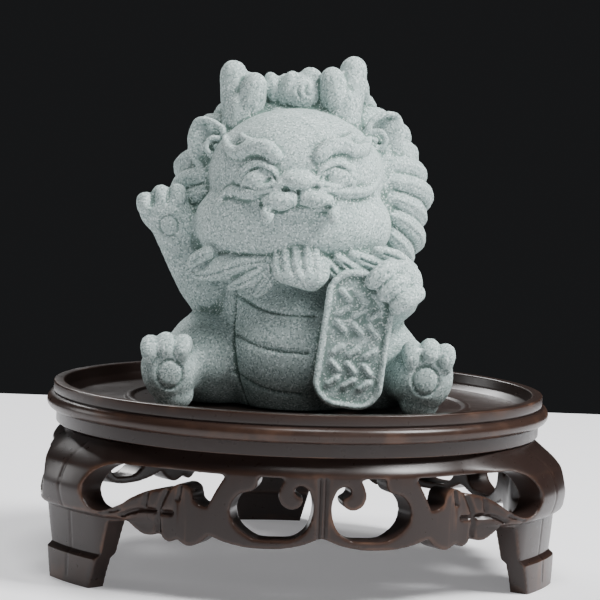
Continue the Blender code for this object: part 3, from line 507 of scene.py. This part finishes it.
plate_outline = tablet_outline(0.3)
bpy.ops.mesh.primitive_circle_add(vertices=len(plate_outline), radius=1, fill_type="NGON")
plate = bpy.context.object
for vert, (x, z) in zip(plate.data.vertices, plate_outline):
    vert.co = on_tablet(x, TABLET_SUNK, z)
bpy.ops.object.mode_set(mode="EDIT")
bpy.ops.mesh.select_all(action="SELECT")
bpy.ops.mesh.extrude_region_move(TRANSFORM_OT_translate={"value": (0, TABLET_THICKNESS - TABLET_SUNK, 0)})
bpy.ops.object.mode_set(mode="OBJECT")
face_outwards(plate)
clay_pieces.append(plate)
ring = tablet_outline(TABLET_RIM)
for depth in TABLET_EDGE_DEPTHS:
    strand(*[(*on_tablet(x, depth, z), TABLET_RIM) for x, z in [*ring, ring[0]]])
for row, z in enumerate(STROKE_ROWS):
    dx = STROKE_HALF_LENGTH * math.cos(STROKE_SLOPE)
    dz = STROKE_HALF_LENGTH * math.sin(STROKE_SLOPE) * (1 if row % 2 else -1)
    for x in STROKE_COLUMNS:
        strand(*[(*on_tablet(x + end * dx, STROKE_DEPTH, z + end * dz), STROKE_RADIUS) for end in (-1, 1)])

dragon = pressed_together("dragon_casting", SKIN_GRAIN, SKIN_SMOOTHING)

# Grooves pressed into the finished skin, from the front: the lines of the belly and the pads
skin_tree = tree_of(dragon)
BELLY_EDGE = [(-17.2, 31), (-17.3, 24), (-17.2, 17), (-16.2, 10), (-14.8, 5), (-12.6, -0.5)]
BELLY_LINES = [
    [(-17.2, 28.9), (-12.0, 26.6), (-6.0, 25.3), (3.4, 25.0)],
    [(-17.2, 19.0), (-12.0, 17.0), (-6.0, 15.9), (2.0, 15.4)],
    [(-16.6, 9.2), (-11.0, 6.2), (-5.0, 4.8), (0.8, 4.4)],
]
for line in (BELLY_EDGE, *BELLY_LINES):
    score_front(skin_tree, line, 0.42, 0.85)
PADS = [(-32.9, 9.0, 3.3, 3.7), (32.4, 9.6, 3.3, 3.7), (-35.3, 45.9, 2.6, 2.7)]
full_turn = [math.radians(20 * k) for k in range(19)]
for x, z, wide, tall in PADS:
    ring = [(x + wide * math.cos(angle), z + tall * math.sin(angle)) for angle in full_turn]
    score_front(skin_tree, ring, 0.4, 0.5)

# The nostrils, a pit at the root of each tusk, the smile and the cleft above it
for x, z in ((-5.3, 57.3), (2.5, 58.1), (-11.2, 52.9), (7.6, 54.0)):
    score_front(skin_tree, [(x, z), (x + 0.4, z)], 0.6, 0.65)
score_front(skin_tree, [(-9.4, 52.0), (-5.6, 51.4), (-1.5, 52.8), (2.6, 52.2), (6.4, 53.2)], 0.45, 0.8)
score_front(skin_tree, [(-1.75, 57.0), (-1.5, 52.8)], 0.35, 0.5)


def score_face(side, line, width, depth):
    score_front(skin_tree, [on_face(side * across, up) for across, up in line], width, depth)


# Under each eyelid, under the eye, along the brow and under the moustache
for side in (-1, 1):
    score_face(side, [(5.6, 59.6), (7.1, 61.6), (10.1, 62.8), (13.1, 61.6), (14.6, 59.6)], 0.35, 0.6)
    score_face(side, [(6.8, 57.9), (10.0, 57.2), (13.6, 57.9)], 0.35, 0.4)
    score_face(side, [(7.2, 68.2), (10.8, 68.4), (14.4, 67.4), (16.8, 68.2)], 0.3, 0.25)
    score_face(side, [(7.6, 56.2), (12.0, 55.4), (16.8, 55.5)], 0.35, 0.25)

# Creases between the fingers
FINGER_CREASES = [
    [(17.4, 33.6), (21.6, 37.6)], [(20.6, 30.6), (25.2, 34.6)],
    [(-40.0, 51.0), (-39.6, 54.6)], [(-35.8, 52.2), (-35.7, 56.0)],
]
for line in FINGER_CREASES:
    score_front(skin_tree, line, 0.4, 0.4)


def places_and_normals(body):
    """Where the vertices of a mesh lie and which way its surface faces there, as two arrays."""
    places = np.empty(len(body.data.vertices) * 3)
    normals = np.empty(len(body.data.vertices) * 3)
    body.data.vertices.foreach_get("co", places)
    body.data.vertex_normals.foreach_get("vector", normals)
    return places.reshape(-1, 3), normals.reshape(-1, 3)


def place_vertices(body, places):
    body.data.vertices.foreach_set("co", places.ravel())
    body.data.update()


def press(body, lines):
    """Presses grooves into a skin: (points, width, depth) of each, along points that lie on it."""
    places, normals = places_and_normals(body)
    near = kdtree.KDTree(len(places))
    for index, place in enumerate(places):
        near.insert(place, index)
    near.balance()
    deepest = np.zeros(len(places))
    for points, width, depth in lines:
        for point in points:
            for _, index, away in near.find_range(point, 2 * width):
                share = min(1.0, max(0.0, (2 * width - away) / (1.7 * width)))
                deepest[index] = max(deepest[index], depth * share * share * (3 - 2 * share))
    place_vertices(body, places - normals * deepest[:, None])


def cut(body, *cuts):
    """Cuts a skin at planes: a place, the way it faces, which side goes, and if the cut is closed."""
    select_only(body)
    bpy.ops.object.mode_set(mode="EDIT")
    for place, facing, gone, closed in cuts:
        bpy.ops.mesh.select_all(action="SELECT")
        bpy.ops.mesh.bisect(
            plane_co=place, plane_no=facing, use_fill=closed,
            clear_inner=gone == "inner", clear_outer=gone == "outer",
        )
    bpy.ops.mesh.select_all(action="SELECT")
    bpy.ops.mesh.quads_convert_to_tris(quad_method="BEAUTY", ngon_method="BEAUTY")
    bpy.ops.object.mode_set(mode="OBJECT")


def thin_out(body, triangles):
    """Leaves about that many triangles of a skin."""
    fewer = body.modifiers.new("Fewer faces", "DECIMATE")
    fewer.ratio = min(1.0, triangles / len(body.data.polygons))
    apply_modifiers(body)


press(dragon, scored)

# The hand-finished surface isn't quite even: height and size of its long and short waves
LONG_WAVE, SHORT_WAVE = (0.16, 5.5), (0.07, 1.7)
GROUND_FLAT = ((0, 0, 0), (0, 0, 1), "inner", True)
places, normals = places_and_normals(dragon)
uneven = np.zeros(len(places))
for height, size in (LONG_WAVE, SHORT_WAVE):
    uneven += [height * noise.noise(Vector(place) / size) for place in places]
place_vertices(dragon, places + normals * uneven[:, None])
cut(dragon, GROUND_FLAT)
thin_out(dragon, DRAGON_TRIANGLES)
dragon.scale = (MM, MM, MM)
dragon.location = SEAT
apply_place()
bpy.ops.object.shade_smooth()


def mark_hollows(obj, name, rounds, reach):
    """Stores for each vertex how deep it lies in a crease (up to 1) or stands proud (to -1)."""
    mesh = obj.data
    count = len(mesh.vertices)
    places, normals = places_and_normals(obj)
    ends = np.empty(len(mesh.edges) * 2, dtype=np.int64)
    mesh.edges.foreach_get("vertices", ends)
    a = np.concatenate((ends[0::2], ends[1::2]))
    b = np.concatenate((ends[1::2], ends[0::2]))
    neighbours = np.bincount(a, minlength=count)[:, None]
    even = places.copy()
    for _ in range(rounds):
        even = np.stack([np.bincount(a, even[b, axis], count) for axis in range(3)], axis=1) / neighbours
    depth = ((even - places) * normals).sum(axis=1) / reach
    attribute = mesh.attributes.new(name, "FLOAT", "POINT")
    attribute.data.foreach_set("value", np.clip(depth, -1, 1))


mark_hollows(dragon, "fine_hollow", 5, 0.00022)
mark_hollows(dragon, "broad_hollow", 60, 0.0011)


class Value:
    """A shader socket that takes part in sums, so that a look can be written as maths."""

    def __init__(self, nodes, socket):
        self.nodes = nodes
        self.socket = socket

    def node(self, kind, settings=(), **inputs):
        """A new node with these settings, and with values or links by socket name or _number."""
        made = self.nodes.new(kind)
        for key, setting in dict(settings).items():
            setattr(made, key, setting)
        for key, value in inputs.items():
            socket = made.inputs[int(key[1:]) if key[1:].isdigit() else key.replace("_", " ")]
            if isinstance(value, Value):
                self.nodes.id_data.links.new(value.socket, socket)
            else:
                socket.default_value = value
        return made

    def out(self, made, output=0):
        return Value(self.nodes, made.outputs[output])

    def math(self, operation, a, b):
        return self.out(self.node("ShaderNodeMath", {"operation": operation}, _0=a, _1=b))

    def __add__(self, other):
        return self.math("ADD", self, other)

    __radd__ = __add__

    def __mul__(self, other):
        return self.math("MULTIPLY", self, other)

    __rmul__ = __mul__

    def __sub__(self, other):
        return self.math("SUBTRACT", self, other)

    def __rsub__(self, other):
        return self.math("SUBTRACT", other, self)

    def ramp(self, low, high):
        """0 below low, 1 above high, and a smooth rise between."""
        kind = {"interpolation_type": "SMOOTHSTEP"}
        return self.out(self.node("ShaderNodeMapRange", kind, _0=self, _1=low, _2=high))

    def mix(self, color_a, color_b):
        """One colour where this is 0, the other where it is 1."""
        mixed = self.node("ShaderNodeMix", {"data_type": "RGBA"}, _0=self, _6=color_a, _7=color_b)
        return self.out(mixed, 2)

    def speckle(self, size, detail=1.0):
        """Even noise from 0 to 1, with spots about that many metres across."""
        spots = self.node("ShaderNodeTexNoise", _0=self, Scale=1 / size, Detail=detail, Roughness=0.5)
        return self.out(spots)


def new_material(name, base, roughness):
    """A material, its main shader, and a Value of the place on the object to start from."""
    material = bpy.data.materials.new(name)
    material.use_nodes = True
    nodes = material.node_tree.nodes
    shader = nodes["Principled BSDF"]
    shader.inputs["Base Color"].default_value = (*base, 1)
    shader.inputs["Roughness"].default_value = roughness
    place = nodes.new("ShaderNodeTexCoord")
    return material, shader, Value(nodes, place.outputs["Object"])


def feed(shader, name, value):
    shader.id_data.links.new(value.socket, shader.inputs[name])


def attribute(place, name):
    return place.out(place.node("ShaderNodeAttribute", {"attribute_name": name}), "Fac")


# Green sandstone: pale grains and dark green ones in a grey-green body, greener in the creases as
# the stone is, with painted shade that darkens them, and paler where it stands proud
STONE_BODY, CREASE_GREEN_AND_SHADE = (0.41, 0.50, 0.49, 1), (0.10, 0.165, 0.14, 1)
STONE_PROUD = (0.55, 0.66, 0.635, 1)
DARK_GRAIN, PALE_GRAIN = (0.13, 0.20, 0.185, 1), (0.90, 0.98, 0.97, 1)
FINE_GRAIN_SIZE, COARSE_GRAIN_SIZE, CLOUD_SIZE = 0.00052, 0.0008, 0.011
stone, shader, place = new_material("green_sandstone", (0.36, 0.43, 0.42), 0.88)
fine_hollow = attribute(place, "fine_hollow")
broad_hollow = attribute(place, "broad_hollow")
clouds = place.speckle(CLOUD_SIZE, 3.0)
grains = place.speckle(FINE_GRAIN_SIZE)
coarse = place.speckle(COARSE_GRAIN_SIZE)
# Painted shade: creases and broad hollows are darkened where shade falls, mixed with random clouds of tone
crease_shade_and_tone = fine_hollow.ramp(0.0, 0.8) * 0.60 + broad_hollow.ramp(0.05, 0.9) * 0.32 + (clouds - 0.5) * 0.4
body = crease_shade_and_tone.ramp(-0.1, 1.0).mix(STONE_BODY, CREASE_GREEN_AND_SHADE)
proud = (0 - fine_hollow).ramp(0.1, 0.9) * 0.3
body = proud.mix(body, STONE_PROUD)
dark_grain = (1 - grains).ramp(0.48, 0.60) * coarse.ramp(0.30, 0.62)
pale_grain = grains.ramp(0.52, 0.64) * coarse.ramp(0.38, 0.58)
body = (dark_grain * 0.70).mix(body, DARK_GRAIN)
body = (pale_grain * 0.62).mix(body, PALE_GRAIN)
feed(shader, "Base Color", body)
grit = grains + coarse * 0.6
bump = place.node("ShaderNodeBump", Strength=0.35, Distance=0.00012, Height=grit)
feed(shader, "Normal", place.out(bump))
dragon.data.materials.append(stone)

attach(dragon, "root")
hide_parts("dragon")

# The stand: one dark, glossy moulding. Its tray is a turned plate with a raised rim, and its
# skirt is a pierced wall with three legs. Half of a panel of the skirt is modelled flat, from
# its middle to the middle of a leg, then bent round the tray and mirrored. In millimetres.
SKIRT_RADIUS, SKIRT_WALL, SKIRT_TOP, APRON_EDGE, WAIST = 65.0, 7.5, 38.0, 31.8, 61.5
LEG_BULGE, FOOT_REACH, FOOT_WALL, ANKLE, TOE = 73.5, 70.5, 5.0, 19.0, 8.0
LEG_TURN = math.radians(6.2)
HALF_PANEL = math.pi / 3 * SKIRT_RADIUS
PANEL_GRAIN, PANEL_SMOOTHING = 0.45, 4
HALF_PANEL_TRIANGLES = 25000

# Outlines of the half panel: across from its middle, up, and "c" for a corner or "s" for smooth
EDGE = [
    (-2.0, 17.3, "c"), (0.0, 17.1, "s"), (5.4, 15.2, "s"), (14.0, 14.1, "s"), (23.4, 15.0, "s"),
    (28.2, 16.5, "c"), (31.0, 14.2, "s"), (34.0, 13.4, "s"), (36.9, 14.8, "c"), (39.2, 13.9, "s"),
    (41.6, 15.7, "c"), (45.0, 15.1, "s"), (49.6, 18.2, "c"), (54.4, 17.6, "c"), (59.6, -1.5, "c"),
    (70.5, -1.5, "c"), (70.5, 38.0, "c"), (-2.0, 38.0, "c"),
]
ARCH = [
    (24.2, 31.8, "c"), (26.4, 28.2, "s"), (29.0, 23.3, "c"), (32.4, 24.8, "s"), (33.3, 27.5, "s"),
    (36.0, 28.6, "s"), (39.2, 27.2, "c"), (43.6, 26.5, "s"), (48.0, 24.2, "s"), (50.4, 22.3, "s"),
    (57.0, 20.6, "s"), (59.9, 24.2, "s"), (58.4, 28.9, "s"), (53.5, 31.9, "s"), (48.0, 32.0, "c"),
]
SCROLL = [
    (16.0, 31.8, "c"), (16.6, 29.0, "s"), (21.2, 26.8, "s"), (22.9, 22.4, "s"), (18.6, 17.3, "s"),
    (12.0, 16.3, "s"), (5.2, 17.8, "s"), (2.5, 22.6, "s"), (2.9, 27.6, "s"), (4.6, 29.7, "s"),
    (6.9, 29.2, "s"), (6.6, 27.8, "s"), (4.9, 26.6, "s"), (5.7, 24.8, "s"), (8.4, 24.2, "s"),
    (10.8, 26.6, "s"), (10.3, 30.0, "s"), (9.2, 31.8, "c"),
]
deselect()
bpy.ops.curve.primitive_bezier_curve_add(location=(0, 0, 0))
panel = bpy.context.object
panel.data.splines.clear()
panel.data.dimensions = "2D"
panel.data.fill_mode = "BOTH"
panel.data.extrude = SKIRT_WALL / 2
for outline in (EDGE, ARCH, SCROLL):
    loop = panel.data.splines.new("BEZIER")
    loop.bezier_points.add(len(outline) - 1)
    for knot, (x, z, kind) in zip(loop.bezier_points, outline):
        knot.co = (x, z, 0)
        knot.handle_left_type = knot.handle_right_type = "VECTOR" if kind == "c" else "AUTO"
    loop.use_cyclic_u = True
panel.rotation_euler.x = math.pi / 2
bpy.ops.object.convert(target="MESH")
apply_place()
skin_over(panel, PANEL_GRAIN, PANEL_SMOOTHING)

# Lines pressed into the flat panel: the mould's seam in its middle, the ribs of the leaf, and
# the mould's fine groove down the middle of the leg. Width, depth, and points across and up.
PANEL_LINES = [
    (0.35, 0.5, [(0.7, 31.5), (0.7, 17.0)]),
    (0.45, 0.9, [(50.0, 19.8), (46.5, 21.2), (42.6, 21.4)]),
    (0.45, 0.8, [(40.8, 21.2), (38.4, 21.2)]),
    (0.45, 0.8, [(41.6, 15.4), (41.7, 21.4), (39.4, 27.4)]),
    (0.40, 0.6, [(44.8, 22.6), (44.4, 26.4)]),
    (0.40, 0.6, [(36.6, 24.6), (36.0, 28.6)]),
    (0.40, 0.5, [(50.6, 21.2), (55.0, 19.6)]),
    (0.30, 0.25, [(HALF_PANEL, 2.0), (HALF_PANEL, 35.0)]),
]
panel_lines = []
for width, depth, line in PANEL_LINES:
    run = smooth_run([(x, -SKIRT_WALL / 2, z, 0.6) for x, z in line], 0.6)
    panel_lines.append(([Vector(point[:3]) for point in run], width, depth))
press(panel, panel_lines)
PANEL_ENDS = [((0, 0, 0), (1, 0, 0), "inner", False), ((HALF_PANEL, 0, 0), (1, 0, 0), "outer", False)]
cut(panel, GROUND_FLAT, *PANEL_ENDS)

# Outside of a leg at its middle, up and out: a block at the toe, a straight shin with a sharp
# ankle, and a smooth swelling knee that sweeps in under the tray
SHIN = [
    (0.0, FOOT_REACH), (TOE - 0.4, FOOT_REACH), (TOE + 0.6, FOOT_REACH - 1.3),
    (ANKLE - 0.7, FOOT_REACH - 0.5),
]
KNEE = [
    (ANKLE + 0.3, LEG_BULGE - 1.6), (ANKLE + 2.2, LEG_BULGE - 0.7), (ANKLE + 6.0, LEG_BULGE),
    (APRON_EDGE - 2.3, LEG_BULGE - 1.4), (APRON_EDGE, LEG_BULGE - 3.2),
    (APRON_EDGE + 2.7, LEG_BULGE - 6.8), (SKIRT_TOP, WAIST),
]
KNEE_RUN = smooth_run([(z, out, 0, 1) for z, out in KNEE], None)
LEG_PROFILE = [*SHIN, *[point[:2] for point in KNEE_RUN]]
LEG_STARTS, LEG_FULL = math.radians(33), math.radians(52)


def bent(point):
    """Where a point of the flat panel goes when the skirt is bent round and its legs swell out."""
    angle = point.x / SKIRT_RADIUS
    z = min(point.z, SKIRT_TOP)
    apron = SKIRT_RADIUS + (WAIST - SKIRT_RADIUS) * smoothstep(APRON_EDGE, SKIRT_TOP, z)
    share = smoothstep(LEG_STARTS, LEG_FULL, angle)
    leg = float(np.interp(z, [p[0] for p in LEG_PROFILE], [p[1] for p in LEG_PROFILE]))
    outside = apron + share * (leg - apron)
    leg_wall = FOOT_WALL + (SKIRT_WALL - FOOT_WALL) * smoothstep(0, APRON_EDGE, z)
    wall = SKIRT_WALL + share * (leg_wall - SKIRT_WALL)
    if z > APRON_EDGE:
        deep = outside - (SKIRT_RADIUS - SKIRT_WALL)
        wall = deep + (wall - deep) * (1 - smoothstep(APRON_EDGE, SKIRT_TOP, z))
    radius = outside - wall * (point.y / SKIRT_WALL + 0.5)
    return Vector((radius * math.sin(angle), -radius * math.cos(angle), z))


# Points within these distances of the panel's ends are set on them, before and after bending
FLAT_SNAP, BENT_SNAP = 0.02, 0.05
flat, _ = places_and_normals(panel)
for end in (0.0, HALF_PANEL):
    flat[np.abs(flat[:, 0] - end) < FLAT_SNAP, 0] = end
place_vertices(panel, np.array([bent(Vector(point)) for point in flat]))
thin_out(panel, HALF_PANEL_TRIANGLES)
curved, _ = places_and_normals(panel)
for angle in (0.0, HALF_PANEL / SKIRT_RADIUS):
    sideways = np.array([math.cos(angle), math.sin(angle), 0.0])
    off = curved @ sideways
    curved -= np.where(np.abs(off) < BENT_SNAP, off, 0.0)[:, None] * sideways
place_vertices(panel, curved)


def copied(half, mirror, turn):
    """A copy of half a panel with its own mesh: mirrored or not, and turned by degrees."""
    select_only(half)
    bpy.ops.object.duplicate()
    copy = bpy.context.object
    copy.scale.x = mirror
    copy.rotation_euler.z = math.radians(turn)
    apply_place()
    return copy


halves = [panel, copied(panel, -1, 0)]
halves += [copied(half, 1, turn) for turn in (120, 240) for half in halves[:2]]
select_only(*halves)
bpy.ops.object.join()
bpy.ops.object.mode_set(mode="EDIT")
bpy.ops.mesh.select_all(action="SELECT")
bpy.ops.mesh.remove_doubles(threshold=0.01)
bpy.ops.object.mode_set(mode="OBJECT")
face_outwards(panel)


def eased(points, reach):
    """The same outline with its corners rounded off."""
    run = [points[0]]
    for a, b, c in zip(points, points[1:], points[2:]):
        a, b, c = Vector(a), Vector(b), Vector(c)
        near_a = b + (a - b).normalized() * min(reach, (a - b).length / 2)
        near_c = b + (c - b).normalized() * min(reach, (c - b).length / 2)
        for t in (0, 0.25, 0.5, 0.75, 1):
            run.append(tuple(near_a * (1 - t) ** 2 + b * 2 * t * (1 - t) + near_c * t * t))
    return run + [points[-1]]


# The tray's outline, out along its underside, up its outside and over the rim in to the axis:
# radius and height. A low ring runs round the tray's floor.
RIM_RADIUS, RIM_TOP, RIM_WIDTH = 65.0, 47.5, 2.8
TRAY_FLOOR, TRAY_UNDER = 43.2, 40.2
TORUS_LOW, BAND_LOW, COLLAR_LOW = 40.3, 44.5, 36.8
TORUS_PROUD, TORUS_MIDDLE = 2.0, RIM_RADIUS - 0.3
RING_OUT, RING_IN, RING_HEIGHT, RING_SLOPE = 46.2, 43.8, 0.6, 0.6
COLLAR = RIM_RADIUS - 0.8
rim_in = RIM_RADIUS - RIM_WIDTH
under = SKIRT_RADIUS - SKIRT_WALL - 0.3
torus = []
for k in range(15):
    angle = math.radians(-84 + 12 * k)
    z = (TORUS_LOW + BAND_LOW) / 2 + (BAND_LOW - TORUS_LOW) / 2 * math.sin(angle)
    torus.append((TORUS_MIDDLE + TORUS_PROUD * math.cos(angle), z))
below = [
    (0.0, TRAY_UNDER), (under, TRAY_UNDER), (under, COLLAR_LOW), (COLLAR, COLLAR_LOW), (COLLAR, TORUS_LOW),
]
above = [
    (RIM_RADIUS - 0.2, BAND_LOW), (RIM_RADIUS, BAND_LOW + 0.5), (RIM_RADIUS, RIM_TOP), (rim_in, RIM_TOP),
    (rim_in - 0.7, TRAY_FLOOR + 1.6), (rim_in - 2.6, TRAY_FLOOR), (RING_OUT, TRAY_FLOOR),
    (RING_OUT - RING_SLOPE, TRAY_FLOOR + RING_HEIGHT), (RING_IN + RING_SLOPE, TRAY_FLOOR + RING_HEIGHT),
    (RING_IN, TRAY_FLOOR), (0.0, TRAY_FLOOR),
]
outline = eased(below, 0.35) + torus + eased(above, 0.45)
deselect()
bpy.ops.mesh.primitive_circle_add(vertices=len(outline), radius=1, fill_type="NOTHING")
tray = bpy.context.object
for vert, (radius, z) in zip(tray.data.vertices, outline):
    vert.co = (radius, 0, z)
bpy.ops.object.mode_set(mode="EDIT")
bpy.ops.mesh.select_all(action="DESELECT")
bpy.ops.object.mode_set(mode="OBJECT")
for edge in tray.data.edges:
    edge.select = all(tray.data.vertices[i].co.x < 0.001 for i in edge.vertices)
bpy.ops.object.mode_set(mode="EDIT")
bpy.ops.mesh.select_mode(type="EDGE")
bpy.ops.mesh.delete(type="EDGE")
bpy.ops.object.mode_set(mode="OBJECT")
turning = tray.modifiers.new("Turn", "SCREW")
turning.steps = turning.render_steps = 192
turning.use_merge_vertices = True
turning.merge_threshold = 0.001
apply_modifiers(tray)
face_outwards(tray)
select_only(tray, panel)
bpy.ops.object.join()
stand = bpy.context.object
stand.name = "display_stand"
stand.scale = (MM, MM, MM)
stand.rotation_euler.z = LEG_TURN
stand.location = MIDDLE
apply_place()
bpy.ops.object.shade_smooth_by_angle(angle=math.radians(38))
mark_hollows(stand, "fine_hollow", 4, 0.00016)

# Dark red-brown moulding with a soft gloss that varies a little, paler in patches and worn to
# orange brown along its proud edges
DARK_BROWN, PALE_PATCH = (0.020, 0.012, 0.010, 1), (0.038, 0.026, 0.022, 1)
ORANGE_BROWN = (0.14, 0.068, 0.040, 1)
moulding, shader, place = new_material("dark_moulding", (0.030, 0.019, 0.016), 0.3)
shader.inputs["Specular IOR Level"].default_value = 0.32
edge_wear = (0 - attribute(place, "fine_hollow")).ramp(0.35, 1.0)
patches = place.speckle(0.012, 4.0).ramp(0.50, 0.72)
dust = place.speckle(0.0016, 3.0)
body = (edge_wear * (patches * 0.5 + 0.10)).mix(DARK_BROWN, ORANGE_BROWN)
body = (patches * 0.22).mix(body, PALE_PATCH)
feed(shader, "Base Color", body)
feed(shader, "Roughness", dust * 0.10 + patches * 0.08 + 0.24)
stand.data.materials.append(moulding)

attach(stand, "root")
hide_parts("stand")

# The floor: a plain pale sheet, only to stand the object on, that ends a little behind it. It
# glows faintly, as paper does under light from all sides.
FLOOR_SIZE, FLOOR_MIDDLE, FLOOR_GLOW = 3.2, (0, -1.25, 0), 0.21
deselect()
bpy.ops.mesh.primitive_plane_add(size=FLOOR_SIZE, location=FLOOR_MIDDLE)
floor = bpy.context.object
floor.name = "floor"
paper, shader, place = new_material("pale_floor", (0.88, 0.88, 0.90), 0.85)
shader.inputs["Emission Color"].default_value = (0.97, 0.97, 1.0, 1)
shader.inputs["Emission Strength"].default_value = FLOOR_GLOW
floor.data.materials.append(paper)

# Light: soft windows high on the right, above and behind, a weak one low on the left, a wide
# weak one in front, and a nearly dark room
LIT_PLACE = Vector((0, 0, 0.07))
ROOM_COLOR, ROOM_STRENGTH = (0.30, 0.31, 0.33, 1), 0.04


def window(name, place, size, power):
    """A soft rectangular light that faces the middle of the object."""
    bpy.ops.object.light_add(type="AREA", location=place)
    lamp = bpy.context.object
    lamp.name = name
    lamp.data.shape = "RECTANGLE"
    lamp.data.size, lamp.data.size_y = size
    lamp.data.energy = power
    lamp.rotation_euler = (LIT_PLACE - lamp.location).to_track_quat("-Z", "Y").to_euler()


window("key_window", (0.56, -0.20, 0.74), (0.3, 0.3), 14.5)
window("top_window", (0.06, -0.30, 1.0), (0.3, 0.3), 5.0)
window("left_window", (-0.85, 0.30, 0.25), (0.3, 0.3), 1.2)
window("back_window", (-0.35, 0.85, 0.75), (0.4, 0.4), 8.0)
window("front_fill", (0.50, -1.20, 0.45), (0.9, 0.6), 1.4)
room = bpy.data.worlds.new("room")
bpy.context.scene.world = room
room.use_nodes = True
room.node_tree.nodes["Background"].inputs["Color"].default_value = ROOM_COLOR
room.node_tree.nodes["Background"].inputs["Strength"].default_value = ROOM_STRENGTH

# The camera, where the photograph was taken from, with its slight tilt
CAMERA_PLACE = MIDDLE + Vector((0, -0.6906, 0.125))
CAMERA_TURN = (-0.03, -4.539, 2.018)
yaw, pitch, roll = (math.radians(angle) for angle in CAMERA_TURN)
forward = Vector((math.sin(yaw) * math.cos(pitch), math.cos(yaw) * math.cos(pitch), math.sin(pitch)))
level = Vector((math.cos(yaw), -math.sin(yaw), 0))
across = math.cos(roll) * level + math.sin(roll) * level.cross(forward)
bpy.ops.object.camera_add()
camera = bpy.context.object
camera.data.lens = 156
camera.data.sensor_width = 36
axes = Matrix((across, across.cross(forward), -forward)).transposed()
camera.matrix_world = Matrix.Translation(CAMERA_PLACE) @ axes.to_4x4()
bpy.context.scene.camera = camera
